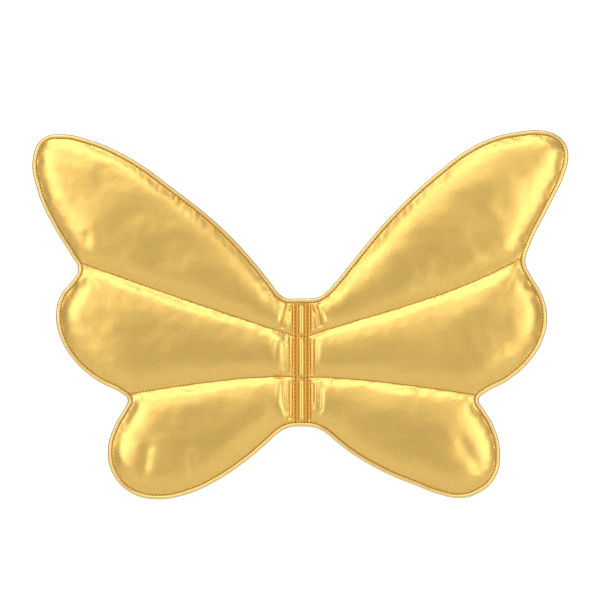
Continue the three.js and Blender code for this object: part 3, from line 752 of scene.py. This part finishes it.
def wing_cover(name, face_side):
    """One cover of a wing: the padded panel and its half of the rolled edge."""
    wing = WINGS[name]
    side, out = wing["side"], OUT[face_side]
    (flat, faces, edge, _), _ = HEIGHTS[name, face_side]
    heights = SHAPED[name, face_side]
    bm = bmesh.new()
    # layers for the share of the roll and for the painted shade in the stitched valleys
    rolled = bm.verts.layers.float.new("rolled")
    valley_shade = bm.verts.layers.float.new("valley_shade")

    def vert(x, z, height_mm, roll):
        v = bm.verts.new((x * side * MM, (MID_Y + out * height_mm) * MM, z * MM))
        v[rolled] = roll
        depth = 1 - float(smoothstep(SEWN_DEPTH, SEWN_DEPTH + VALLEY_DEPTH, height_mm))
        v[valley_shade] = depth * (1 if x < GATHER_X else 0.7) if roll < 0.05 else 0.0
        return v

    verts = [vert(x, z, h, 0) for (x, z), h in zip(flat, heights)]
    for face in faces:
        bm.faces.new([verts[i] for i in face])
    inner = flat[edge]
    mates = edge_mates(wing, inner)
    ring = [verts[i] for i in edge]
    for outwards, roll_height in ROLL:
        share = outwards / LIP
        points = inner * (1 - share) + mates * share
        grown = [vert(x, z, roll_height, share) for x, z in points]
        for i in range(len(ring) - 1):
            bm.faces.new([ring[i], ring[i + 1], grown[i + 1], grown[i]])
        ring = grown
    return finished(bm, f"{name}_wing_{face_side}_cloth", face_side)


COVERS = {key: wing_cover(*key) for key in HEIGHTS}
for key, cover in COVERS.items():
    print(key, "cover:", len(cover.data.polygons), "faces")

# %% [markdown]
# ## The rib
# Between the two wings the covers are sewn down in two rows, and the cloth between the rows stands up as a
# round rib over a length of filling. The seams across the wings run on across it and pinch it. Its mesh is a
# grid that follows the rib's section, pinched where the seams are, and its outer columns share their points
# with the wings' covers, so no gap shows in the channel.

# %% Rib heights
RIB = {"front": (3.3, 2.9), "back": (3.4, 0.9)}  # half width and height above the stitching
RIB_COLUMNS = (0, 0.4, 0.9, 1.4, 1.9, 2.4, 2.8, 3.15, 3.6, 4.3, 5.0, ROW_X)
RIB_NECK = 0.22  # share of the height left where a seam crosses


def rib_height(x, z, face_side):
    half_width, rise = RIB[face_side]
    ends = (UPPER_SEAM_Z, LOWER_SEAM_Z, SPINE_HALF_HEIGHT - LIP, LIP - SPINE_HALF_HEIGHT)
    away = min(abs(z - end) for end in ends)
    fullness = lerp(RIB_NECK, 1, float(smoothstep(0.3, 3.2, away))) if away > 0.05 else 0.05
    across = max(0, 1 - (x / half_width) ** 2)
    return SEWN_DEPTH + rise * fullness * across**0.6


def rib_rows():
    """Each row of the rib's grid: its place up the spine, its roll height or None, its share of the roll."""
    top = [(SPINE_HALF_HEIGHT - LIP + out, tall, out / LIP) for out, tall in reversed(ROLL)]
    bottom = [(-z, tall, share) for z, tall, share in reversed(top)]
    return [*top, *((z, None, 0) for z in spine_heights()), *bottom]


def rib_cover(face_side):
    out = OUT[face_side]
    xs = [-x for x in reversed(RIB_COLUMNS[1:])] + list(RIB_COLUMNS)
    bm = bmesh.new()
    # layers for the share of the roll and for the painted shade in the stitched valleys
    rolled = bm.verts.layers.float.new("rolled")
    valley_shade = bm.verts.layers.float.new("valley_shade")
    rows = []
    for z, roll_height, share in rib_rows():
        row = []
        for x in xs:
            tall = rib_height(abs(x), z, face_side) if roll_height is None else roll_height
            v = bm.verts.new((x * MM, (MID_Y + out * tall) * MM, z * MM))
            v[rolled] = share
            depth = float(1 - smoothstep(SEWN_DEPTH, SEWN_DEPTH + VALLEY_DEPTH, tall))
            v[valley_shade] = depth if share < 0.05 else 0.0
            row.append(v)
        rows.append(row)
    for upper, lower in zip(rows, rows[1:]):
        for i in range(len(xs) - 1):
            bm.faces.new([upper[i], upper[i + 1], lower[i + 1], lower[i]])
    return finished(bm, f"rib_{face_side}_cloth", face_side)


RIB_COVERS = {face_side: rib_cover(face_side) for face_side in OUT}
print("rib covers:", [len(piece.data.polygons) for piece in RIB_COVERS.values()], "faces")


# %% [markdown]
# ## Wadding
# The padding can't be seen, but it's a piece of its own in each pocket between the seams. It's made from the
# same simulated heights as the covers, less a little more than the cloth's thickness: the faces of the flat
# panel that lie in one pocket and have room under them are extruded through the wing, and the two sides are
# then moved out under the front and back covers. The rib's filling is a row of short rounded rolls.

# %% Wing pads
PAD_CLEARANCE = 1.3
PAD_MINIMUM = 1.0
FILL = {"upper": 0.8, "middle": 0.8, "lower": 0.75}
SIDE_SHARE = {"front": 1.3, "back": 0.9}


def pocket_of(wing, x, z):
    """The pocket that a point is in: upper, middle or lower."""
    for seam, above in (("upper", "upper"), ("lower", "middle")):
        row = seam_row(wing, seam, FINE)
        if z > np.interp(x, row[:, 0], row[:, 1]):
            return above
    return "lower"


def wing_pad(name, pocket):
    """A closed pad between a wing's covers, from the back panel's points."""
    wing = WINGS[name]
    (flat, faces, _, _), _ = HEIGHTS[name, "back"]
    room = SHAPED[name, "back"] - PAD_CLEARANCE
    kept = []
    for face in faces:
        x, z = flat[face].mean(axis=0)
        if min(room[face]) > PAD_MINIMUM and pocket_of(wing, x, z) == pocket:
            kept.append(face)
    used = sorted({i for face in kept for i in face})
    bm = bmesh.new()
    layer = bm.verts.layers.float.new("room")
    verts = {i: bm.verts.new((flat[i, 0] * wing["side"] * MM, MID_Y * MM, flat[i, 1] * MM)) for i in used}
    for i in used:
        verts[i][layer] = room[i]
    front = [bm.faces.new([verts[i] for i in face]) for face in kept]
    back = bmesh.ops.extrude_face_region(bm, geom=front)["geom"]
    for vert in [v for v in back if isinstance(v, bmesh.types.BMVert)]:
        vert.co.y += vert[layer] * SIDE_SHARE["back"] * MM
    for i in used:
        verts[i].co.y -= room[i] * SIDE_SHARE["front"] * MM
    bmesh.ops.recalc_face_normals(bm, faces=bm.faces)
    return piece_from(bm, f"{name}_{pocket}_pad")


PADS = {(name, pocket): wing_pad(name, pocket) for name in WINGS for pocket in FILL}
for key, pad in PADS.items():
    print(key, "pad:", len(pad.data.polygons), "faces,", [round(d * 1000) for d in pad.dimensions], "mm")

# %% Rib filling
FILLING_GAP = 2.4  # from a seam to the end of a length of filling
FILLING_HALF = (2.4, 1.0)  # half width and half depth
FILLING_HEIGHT = 1.5  # its middle's distance in front of the meeting plane


def rib_pad(pocket, top, bottom):
    """A rounded roll of filling between two seams."""
    bm = bmesh.new()
    ball = bmesh.ops.create_uvsphere(bm, u_segments=16, v_segments=12, radius=1)["verts"]
    half_length = (top - bottom) / 2 - FILLING_GAP
    for vert in ball:
        stretch = half_length - FILLING_HALF[0]
        z = vert.co.z * FILLING_HALF[0] + math.copysign(stretch, vert.co.z) * (abs(vert.co.z) > 0.01)
        y = MID_Y - FILLING_HEIGHT + vert.co.y * FILLING_HALF[1]
        vert.co = (vert.co.x * FILLING_HALF[0] * MM, y * MM, ((top + bottom) / 2 + z) * MM)
    return piece_from(bm, f"rib_{pocket}_filling")


RIB_PADS = {pocket: rib_pad(pocket, *ends) for pocket, ends in zip(FILL, CHANNEL_ENDS)}
print("rib fillings:", [round(pad.dimensions.z * 1000, 1) for pad in RIB_PADS.values()], "mm long")


# %% [markdown]
# ## Materials
# The cloth is a woven backing with a metallic foil coat, so it's a metal in colour but a soft plastic in
# touch: fully metallic, fairly rough, with a faint grain and a clear coat that whitens the bright bands a
# little. What varies over the cloth comes from one node group: painted shade deepens the colour in the
# stitched valleys, for gold reflecting gold there, a painted highlight makes the rolled edge a paler gold,
# and the roll's outermost line is tan and less metallic.

# %% Node helpers
def node(tree, kind, inputs=None, **settings):
    made = tree.nodes.new(kind)
    for key, value in settings.items():
        setattr(made, key, value)
    for key, value in (inputs or {}).items():
        if isinstance(value, bpy.types.NodeSocket):
            tree.links.new(value, made.inputs[key])
        else:
            made.inputs[key].default_value = value
    return made


def new_group(name, sockets):
    group = bpy.data.node_groups.new(name, "ShaderNodeTree")
    for label, kind in sockets:
        group.interface.new_socket(label, in_out="OUTPUT", socket_type=kind)
    return group, group.nodes.new("NodeGroupOutput")


def principled(name, color, roughness, metallic=0.0):
    material = bpy.data.materials.new(name)
    material.use_nodes = True
    shader = material.node_tree.nodes["Principled BSDF"]
    shader.inputs["Base Color"].default_value = (*color, 1)
    shader.inputs["Roughness"].default_value = roughness
    shader.inputs["Metallic"].default_value = metallic
    return material, material.node_tree, shader


# %% Gold cloth
GOLD = (0.95, 0.62, 0.145, 1)
WORN_GOLD = (0.86, 0.55, 0.125, 1)
ROLL_PAINTED_HIGHLIGHT = (0.97, 0.74, 0.30, 1)
VALLEY_PAINTED_SHADE = (0.92, 0.47, 0.05, 1)
RIM_TAN = (0.55, 0.40, 0.20, 1)


def blended(tree, mask, first, second):
    """A colour socket between two colours, each a socket or plain values."""
    mix = tree.nodes.new("ShaderNodeMix")
    mix.data_type = "RGBA"
    tree.links.new(mask, mix.inputs["Factor"])
    for index, colour in ((6, first), (7, second)):
        if isinstance(colour, bpy.types.NodeSocket):
            tree.links.new(colour, mix.inputs[index])
        else:
            mix.inputs[index].default_value = colour
    return mix.outputs[2]


def gold_group():
    group, output = new_group(
        "gold_cloth_pattern",
        [("Color", "NodeSocketColor"), ("Roughness", "NodeSocketFloat"), ("Metallic", "NodeSocketFloat"),
         ("Height", "NodeSocketFloat")],
    )
    place = node(group, "ShaderNodeTexCoord").outputs["Object"]
    valley_shade = node(group, "ShaderNodeAttribute", attribute_name="valley_shade").outputs["Fac"]
    rolled = node(group, "ShaderNodeAttribute", attribute_name="rolled").outputs["Fac"]

    def noise_of(scale, detail):
        settings = {"Vector": place, "Scale": scale, "Detail": detail}
        return node(group, "ShaderNodeTexNoise", settings).outputs["Fac"]

    def ranged(value, **limits):
        settings = {"Value": value, **{label.replace("_", " "): limit for label, limit in limits.items()}}
        return node(group, "ShaderNodeMapRange", settings).outputs["Result"]

    # the roll's outermost line is mixed to tan and made less metallic
    rim = ranged(rolled, From_Min=0.9, From_Max=0.985)
    cast = noise_of(14.0, 2.0)
    grain = noise_of(620.0, 4.0)
    crease = noise_of(130.0, 3.0)
    # painted highlight: the rolled edge is mixed towards a paler gold
    roll = ranged(rolled, From_Min=0.15, From_Max=0.7)
    # painted shade: the stitched valleys are mixed towards a deeper orange gold
    sewn = ranged(valley_shade, From_Min=0.45)
    colour = blended(group, ranged(grain, From_Min=0.35, From_Max=0.65), WORN_GOLD, GOLD)
    for mask, tint in ((roll, ROLL_PAINTED_HIGHLIGHT), (sewn, VALLEY_PAINTED_SHADE), (rim, RIM_TAN)):
        colour = blended(group, mask, colour, tint)
    rough = ranged(cast, To_Min=0.31, To_Max=0.41)
    metal = ranged(rim, To_Min=1.0, To_Max=0.25)
    large = node(group, "ShaderNodeMath", {0: crease, 1: 3.0}, operation="MULTIPLY").outputs[0]
    relief = node(group, "ShaderNodeMath", {0: grain, 1: large}, operation="ADD").outputs[0]
    group.links.new(colour, output.inputs["Color"])
    group.links.new(rough, output.inputs["Roughness"])
    group.links.new(metal, output.inputs["Metallic"])
    group.links.new(relief, output.inputs["Height"])
    return group


def gold_cloth():
    material, tree, shader = principled("gold_coated_cloth", GOLD[:3], 0.38, 1.0)
    pattern = node(tree, "ShaderNodeGroup", node_tree=gold_group())
    height_socket = pattern.outputs["Height"]
    bump = node(tree, "ShaderNodeBump", {"Height": height_socket, "Strength": 0.3, "Distance": 0.00012})
    tree.links.new(pattern.outputs["Color"], shader.inputs["Base Color"])
    tree.links.new(pattern.outputs["Roughness"], shader.inputs["Roughness"])
    tree.links.new(pattern.outputs["Metallic"], shader.inputs["Metallic"])
    tree.links.new(bump.outputs["Normal"], shader.inputs["Normal"])
    shader.inputs["Coat Weight"].default_value = 0.9
    shader.inputs["Coat Roughness"].default_value = 0.3
    return material


GOLD_CLOTH = gold_cloth()
for piece in [*COVERS.values(), *RIB_COVERS.values()]:
    piece.data.materials.clear()
    piece.data.materials.append(GOLD_CLOTH)
print("gold cloth on", len(COVERS) + len(RIB_COVERS), "pieces")


# %% [markdown]
# ## Stitching
# Every stitch is a short length of thread that comes up through one hole and goes down the next. One stitch
# is made from a sphere drawn out along the row, with a flat dim brown disc beside it as painted shade for the
# hole, and is then set along each row at an even pitch, on the cloth's surface: a ray from outside finds how
# high that is.

# %% One stitch
STITCH_PITCH = 3.2
SPINE_PITCH = 3.75
THREAD = 0.75
HOLE = 0.75
HOLE_DEPTH = 0.22
STITCH_LIFT = 0.15  # how far a stitch's middle stands above the cloth


def template(segments, rings, half_size):
    """Points and faces of a sphere scaled to half sizes along the row, across it and out of the cloth."""
    bm = bmesh.new()
    bmesh.ops.create_uvsphere(bm, u_segments=segments, v_segments=rings, radius=1)
    points = np.array([vert.co for vert in bm.verts])[:, [2, 0, 1]] * half_size
    faces = [[vert.index for vert in face.verts] for face in bm.faces]
    bm.free()
    return points, faces


def stitch_shapes(pitch):
    thread = template(6, 6, (pitch * 0.36, THREAD / 2, THREAD / 2))
    hole = template(8, 4, (HOLE, HOLE * 0.75, HOLE_DEPTH))
    hole[0][:, 0] += pitch / 2
    return (thread, 0), (hole, 1)


def surface_of(pieces):
    """Rays against the pieces' cloth, for the height of a point on it."""
    points = []
    polygons = []
    for piece in pieces:
        start = len(points)
        points += [vert.co.copy() for vert in piece.data.vertices]
        polygons += [[start + i for i in polygon.vertices] for polygon in piece.data.polygons]
    return BVHTree.FromPolygons(points, polygons)


SURFACES = {
    face_side: surface_of([COVERS["left", face_side], COVERS["right", face_side], RIB_COVERS[face_side]])
    for face_side in OUT
}


def surface_height(face_side, x, z):
    """The cloth's distance from the meeting plane at a signed x, in millimetres."""
    out = OUT[face_side]
    start = Vector((x * MM, (MID_Y + out * 40) * MM, z * MM))
    hit = SURFACES[face_side].ray_cast(start, Vector((0, -out, 0)))[0]
    return SEWN_DEPTH if hit is None else (hit.y / MM - MID_Y) * out


# %% Rows of stitches
def stitched(name, rows, pitch, sides=("front", "back")):
    """One piece with a stitch at every pitch along each row of signed (x, z) points, on both covers."""
    points = []
    faces = []
    finishes = []
    shapes = stitch_shapes(pitch)
    for face_side in sides:
        out = OUT[face_side]
        for row in rows:
            places = evenly(np.array(row, float), pitch)
            middles = (places[1:] + places[:-1]) / 2
            runs = places[1:] - places[:-1]
            for (x, z), run in zip(middles, runs):
                along = run / np.linalg.norm(run)
                across = np.array([-along[1], along[0]])
                tall = surface_height(face_side, x, z)
                for (shape, polygons), finish in shapes:
                    flat = np.array([x, z]) + shape[:, :1] * along + shape[:, 1:2] * across
                    y = MID_Y + out * (tall + STITCH_LIFT + shape[:, 2])
                    start = len(points)
                    points += [(px * MM, py * MM, pz * MM) for (px, pz), py in zip(flat, y)]
                    faces += [[start + i for i in polygon] for polygon in polygons]
                    finishes += [finish] * len(polygons)
    mesh = bpy.data.meshes.new(name)
    mesh.from_pydata(points, [], faces)
    mesh.materials.append(THREAD_GOLD)
    mesh.materials.append(NEEDLE_HOLE_SHADE)
    mesh.polygons.foreach_set("material_index", finishes)
    bm = bmesh.new()
    bm.from_mesh(mesh)
    bmesh.ops.recalc_face_normals(bm, faces=bm.faces)
    bm.to_mesh(mesh)
    bm.free()
    mesh.shade_smooth()
    piece = bpy.data.objects.new(name, mesh)
    scene.collection.objects.link(piece)
    return piece


def signed(row, side):
    return np.array(row) * (side, 1)


THREAD_GOLD = principled("sewing_thread", (0.62, 0.38, 0.10), 0.5, 0.5)[0]
# painted shade: a dim brown disc stands for the shade in each needle hole
NEEDLE_HOLE_SHADE = principled("needle_hole_shade", (0.17, 0.085, 0.018), 0.8)[0]
ROW_INSET = LIP + 0.1
SPINE_STITCH_Z = SPINE_HALF_HEIGHT - LIP
STITCHING = {}
for name, wing in WINGS.items():
    side = wing["side"]
    STITCHING[f"{name}_edge_stitching"] = stitched(
        f"{name}_edge_stitches", [signed(edge_row(wing, ROW_INSET), side)], STITCH_PITCH
    )
    for seam in ("upper", "lower"):
        STITCHING[f"{name}_{seam}_quilting"] = stitched(
            f"{name}_{seam}_seam_stitches", [signed(seam_row(wing, seam, 1), side)], STITCH_PITCH
        )
    row = [(side * ROW_X, SPINE_STITCH_Z - 1), (side * ROW_X, 1 - SPINE_STITCH_Z)]
    STITCHING[f"spine_{name}_stitching"] = stitched(f"rib_{name}_stitches", [row], SPINE_PITCH)
for label, z in (("top", SPINE_STITCH_Z - 0.1), ("bottom", 0.1 - SPINE_STITCH_Z)):
    row = [(-ROW_X, z), (ROW_X, z)]
    STITCHING[f"spine_{label}_stitching"] = stitched(f"rib_{label}_stitches", [row], STITCH_PITCH)
for label, z in (("upper", UPPER_SEAM_Z), ("lower", LOWER_SEAM_Z)):
    row = [(-ROW_X, z), (ROW_X, z)]
    STITCHING[f"spine_{label}_quilting"] = stitched(f"rib_{label}_seam_stitches", [row], STITCH_PITCH)
print("stitching:", {label: len(piece.data.polygons) for label, piece in STITCHING.items()})

# %% [markdown]
# ## Tape, arm straps and bar tacks
# Behind the rib is a strip of folded cotton tape, and at its top and bottom each end of two elastic straps is
# caught under a bar tack. A strap is one flat length of woven elastic, so its mesh is a thin rounded section
# drawn along the loop's route: out of the strip, turning on its hinge, and once round to stand edgewise.

# %% Strap route
STRAP_Y = 3.1  # strap's middle behind the meeting plane
STRAP_SECTION = (12, 1.2)  # width and thickness
STRAP_START_X = 6.3  # where its route starts beside the spine
STRAP_HINGE = 1.8  # how far along its route it starts to turn
STRAP_ANGLE = 50  # degrees between its loop and the wing
FOLD_END = 7
TWIST_REACH = 34  # how far out it has turned edgewise
STRAP_REACH = 106
STRAP_SAG = 66
STRAP_END_Z = SPINE_HALF_HEIGHT - 15
STRAP_STEPS = 130
STRAP_ROUTE = [
    (-4.6, STRAP_END_Z), (STRAP_HINGE, STRAP_END_Z), (8, STRAP_END_Z), (16, STRAP_END_Z + 1.5),
    (0.43 * STRAP_REACH, 46), (0.76 * STRAP_REACH, 36), (0.97 * STRAP_REACH, 12.15),
    (STRAP_REACH, -0.27 * STRAP_SAG), (0.85 * STRAP_REACH, -0.73 * STRAP_SAG),
    (0.57 * STRAP_REACH, -STRAP_SAG), (0.29 * STRAP_REACH, -0.92 * STRAP_SAG),
    (17, -STRAP_END_Z - 4), (8, -STRAP_END_Z),
    (STRAP_HINGE, -STRAP_END_Z), (-4.6, -STRAP_END_Z),
]
THICK_CORNER = 0.45


def catmull_rom(knots, count):
    """Points on a centripetal curve through the knots, evenly spread along it."""
    knots = np.array([2 * np.array(knots[0]) - knots[1], *knots, 2 * np.array(knots[-1]) - knots[-2]], float)
    line = []
    for a, b, c, d in zip(knots, knots[1:], knots[2:], knots[3:]):
        t1 = np.linalg.norm(b - a) ** 0.5
        t2 = t1 + np.linalg.norm(c - b) ** 0.5
        t3 = t2 + np.linalg.norm(d - c) ** 0.5
        for t in np.linspace(t1, t2, 12, endpoint=False):
            p = (t1 - t) / t1 * a + t / t1 * b
            q = (t2 - t) / (t2 - t1) * b + (t - t1) / (t2 - t1) * c
            r = (t3 - t) / (t3 - t2) * c + (t - t2) / (t3 - t2) * d
            u = (t2 - t) / t2 * p + t / t2 * q
            v = (t3 - t) / (t3 - t1) * q + (t - t1) / (t3 - t1) * r
            line.append((t2 - t) / (t2 - t1) * u + (t - t1) / (t2 - t1) * v)
    line = np.array([*line, knots[-2]])
    return evenly(line, lengths_along(line)[-1] / count)


def strap_point(out, over, z, side):
    """A point of a strap, `out` along its route from the strip and `over` its surface."""
    turn = math.radians(STRAP_ANGLE) * float(smoothstep(STRAP_HINGE, FOLD_END, out))
    x = STRAP_START_X + out * math.cos(turn) - over * math.sin(turn)
    y = STRAP_Y + out * math.sin(turn) + over * math.cos(turn)
    return (side * x * MM, (MID_Y + y) * MM, z * MM)


def strap_section():
    """Half of the strap's flat section, rounded at its corners: (across, through) points in order."""
    half_width, half_thick = STRAP_SECTION[0] / 2, STRAP_SECTION[1] / 2
    across = [-1, -0.8, -0.6, -0.4, -0.2, 0, 0.2, 0.4, 0.6, 0.8, 1]
    top = [(share * (half_width - THICK_CORNER), half_thick) for share in across]
    end = [(half_width - 0.1, half_thick * 0.6), (half_width, 0), (half_width - 0.1, -half_thick * 0.6)]
    bottom = [(-x, -y) for x, y in top]
    return [*top, *end, *bottom, *((-x, -y) for x, y in end)]


def strap(name):
    side = WINGS[name]["side"]
    route = catmull_rom(STRAP_ROUTE, STRAP_STEPS)
    along = lengths_along(route)
    heading = np.gradient(route, axis=0)
    heading /= np.linalg.norm(heading, axis=1)[:, None]
    section = strap_section()
    bm = bmesh.new()
    uv = bm.loops.layers.uv.new("weave")
    rings = []
    for (out, z), (run, climb) in zip(route, heading):
        twist = math.pi / 2 * float(smoothstep(2, TWIST_REACH, out))
        ring = []
        for width, thick in section:
            flat = width * math.cos(twist) - thick * math.sin(twist)
            over = width * math.sin(twist) + thick * math.cos(twist)
            ring.append(bm.verts.new(strap_point(out - flat * climb, over, z + flat * run, side)))
        rings.append(ring)
    count = len(section)
    girth = np.linspace(0, 2 * sum(STRAP_SECTION) * MM, count + 1)
    for i in range(len(rings) - 1):
        for j in range(count):
            corners = ((i, j), (i, j + 1), (i + 1, j + 1), (i + 1, j))
            face = bm.faces.new([rings[row][column % count] for row, column in corners])
            for loop, (row, column) in zip(face.loops, corners):
                loop[uv].uv = (along[row] * MM, girth[column])
    bm.faces.new(rings[0])
    bm.faces.new(rings[-1])
    bmesh.ops.recalc_face_normals(bm, faces=bm.faces)
    piece = piece_from(bm, f"{name}_elastic_strap")
    print(piece.name, "length", round(along[-1]), "mm")
    return piece


STRAPS = {name: strap(name) for name in WINGS}

# %% Tape strip
TAPE_ROUNDING = 0.7


def tape_strip():
    """A long flat block with rounded edges, in the place of the solid strip."""
    bm = bmesh.new()
    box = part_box("spine_strip")
    bmesh.ops.create_cube(bm, size=1)
    for vert in bm.verts:
        vert.co = [lerp(box[0][i], box[1][i], vert.co[i] + 0.5) for i in range(3)]
    runs = {edge: edge.verts[0].co - edge.verts[1].co for edge in bm.edges}
    edges = [edge for edge, run in runs.items() if abs(run.z) > 10 * MM]
    edges += [edge for edge, run in runs.items() if edge not in edges and abs(run.x) > 5 * MM]
    bmesh.ops.bevel(
        bm, geom=edges, offset=TAPE_ROUNDING * MM, segments=3, profile=0.5, affect="EDGES", material=-1
    )
    return piece_from(bm, "spine_tape")


TAPE = tape_strip()
print("tape:", [round(d * 1000, 1) for d in TAPE.dimensions], "mm")

# %% Bar tacks
TACK_STITCHES = 9
TACK_THREAD = 0.3


def bar_tack(label):
    """A close zigzag of thread, filling the tack's place."""
    low, high = (Vector(corner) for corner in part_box(f"{label}_bar_tack"))
    curve = bpy.data.curves.new(label, "CURVE")
    curve.dimensions = "3D"
    curve.bevel_depth = TACK_THREAD * MM
    curve.bevel_resolution = 2
    spline = curve.splines.new("POLY")
    spline.points.add(2 * TACK_STITCHES)
    for i, point in enumerate(spline.points):
        z = lerp(low.z, high.z, i / (2 * TACK_STITCHES))
        x = low.x + TACK_THREAD * MM if i % 2 else high.x - TACK_THREAD * MM
        point.co = (x, (low.y + high.y) / 2, z, 1)
    holder = bpy.data.objects.new("tack_path", curve)
    scene.collection.objects.link(holder)
    depsgraph = bpy.context.evaluated_depsgraph_get()
    mesh = bpy.data.meshes.new_from_object(holder.evaluated_get(depsgraph), depsgraph=depsgraph)
    mesh.name = f"{label}_tack_stitches"
    bpy.data.objects.remove(holder)
    mesh.materials.clear()
    mesh.materials.append(THREAD_GOLD)
    mesh.shade_smooth()
    piece = bpy.data.objects.new(mesh.name, mesh)
    scene.collection.objects.link(piece)
    return piece


CORNERS = [f"{name}_{end}" for name in WINGS for end in ("upper", "lower")]
TACKS = {label: bar_tack(label) for label in CORNERS}
print("bar tacks:", len(TACKS))


# %% Elastic and tape
def woven_group(name, coordinates, pale, groove_shade, threads):
    """A colour and a height for a weave: ribs across one axis, crossed by finer threads; painted shade where
    low.
    """
    group, output = new_group(name, [("Color", "NodeSocketColor"), ("Height", "NodeSocketFloat")])
    place = node(group, "ShaderNodeTexCoord").outputs[coordinates]
    ribs = []
    for direction, per_metre in threads.items():
        settings = {"Vector": place, "Scale": per_metre / 20 * math.pi, "Distortion": 0.6, "Detail": 1.0}
        wave = node(group, "ShaderNodeTexWave", settings, bands_direction=direction)
        ribs.append(wave.outputs["Fac"])
    height_fac = node(group, "ShaderNodeMath", {0: ribs[0], 1: ribs[1]}, operation="MULTIPLY").outputs[0]
    # painted shade: the colour is darker where the weave is low
    colour = node(group, "ShaderNodeMix", data_type="RGBA")
    group.links.new(height_fac, colour.inputs["Factor"])
    colour.inputs[6].default_value = (*groove_shade, 1)
    colour.inputs[7].default_value = (*pale, 1)
    group.links.new(colour.outputs[2], output.inputs["Color"])
    group.links.new(height_fac, output.inputs["Height"])
    return group


def woven(name, coordinates, pale, groove_shade, threads, roughness):
    material, tree, shader = principled(name, pale, roughness)
    weave = woven_group(f"{name}_weave", coordinates, pale, groove_shade, threads)
    pattern = node(tree, "ShaderNodeGroup", node_tree=weave)
    height_socket = pattern.outputs["Height"]
    bump = node(tree, "ShaderNodeBump", {"Height": height_socket, "Strength": 0.5, "Distance": 0.0003})
    tree.links.new(pattern.outputs["Color"], shader.inputs["Base Color"])
    tree.links.new(bump.outputs["Normal"], shader.inputs["Normal"])
    shader.inputs["Sheen Weight"].default_value = 0.2
    return material


ELASTIC_THREADS = {"X": 900, "Y": 1300}
TAPE_THREADS = {"DIAGONAL": 1100, "Z": 1700}
ELASTIC = woven("woven_elastic", "UV", (0.56, 0.45, 0.30), (0.36, 0.28, 0.17), ELASTIC_THREADS, 0.75)
TAPE_CLOTH = woven("cotton_tape", "Object", (0.50, 0.39, 0.24), (0.36, 0.27, 0.15), TAPE_THREADS, 0.85)
for piece in STRAPS.values():
    piece.data.materials.append(ELASTIC)
TAPE.data.materials.append(TAPE_CLOTH)

# %% Wadding, wire and sleeves
WADDING = principled("white_wadding", (0.86, 0.85, 0.82), 0.95)[0]
for pad in [*PADS.values(), *RIB_PADS.values()]:
    pad.data.materials.append(WADDING)
SPRING_STEEL = principled("bright_steel", (0.58, 0.58, 0.57), 0.28, 1.0)[0]
BRASS = principled("brass", (0.80, 0.58, 0.28), 0.3, 1.0)[0]
for name in WINGS:
    for part, finish in ((f"{name}_edge_wire", SPRING_STEEL), (f"{name}_wire_sleeve", BRASS)):
        for material_slot in bpy.data.objects[part].material_slots:
            material_slot.material = finish
print("materials:", sorted(material.name for material in bpy.data.materials if material.users))

# %% [markdown]
# ## Moving with the joints
# The wings' covers and stitching cross the fold line, between the row of stitching and a little way into the
# wing, and a strap turns where it leaves the strip, but here these pieces only have their transforms baked:
# they neither bend nor ride on a body. The wadding rides on its wing, and the tape, the tacks, the rib, its
# filling and its stitching stay with the spine.

# %% Ride and replace
FOLD_FROM = ROW_X * MM
FOLD_TO = 14 * MM
STRAP_BEND = (7.0 * MM, 9.6 * MM)


def bend(piece, name, body, start_x, end_x):
    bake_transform(piece)


for (name, face_side), cover in COVERS.items():
    bend(cover, name, f"{name}_wing", FOLD_FROM, FOLD_TO)
    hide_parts(f"{name}_{face_side}_cover")
for face_side, piece in RIB_COVERS.items():
    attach(piece, "spine")
    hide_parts(f"spine_{face_side}_cover")
for (name, pocket), pad in PADS.items():
    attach(pad, f"{name}_wing")
    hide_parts(f"{name}_{pocket}_wadding")
for pocket, pad in RIB_PADS.items():
    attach(pad, "spine")
    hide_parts(f"spine_{pocket}_wadding")
for label, piece in STITCHING.items():
    if label.startswith("spine"):
        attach(piece, "spine")
    else:
        name = label.split("_")[0]
        bend(piece, name, f"{name}_wing", FOLD_FROM, FOLD_TO)
    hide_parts(label)
for name, piece in STRAPS.items():
    bend(piece, name, f"{name}_strap", *STRAP_BEND)
    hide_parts(f"{name}_strap", f"{name}_upper_strap_end", f"{name}_lower_strap_end")
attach(TAPE, "spine")
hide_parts("spine_strip")
for label, piece in TACKS.items():
    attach(piece, "spine")
    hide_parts(f"{label}_bar_tack")
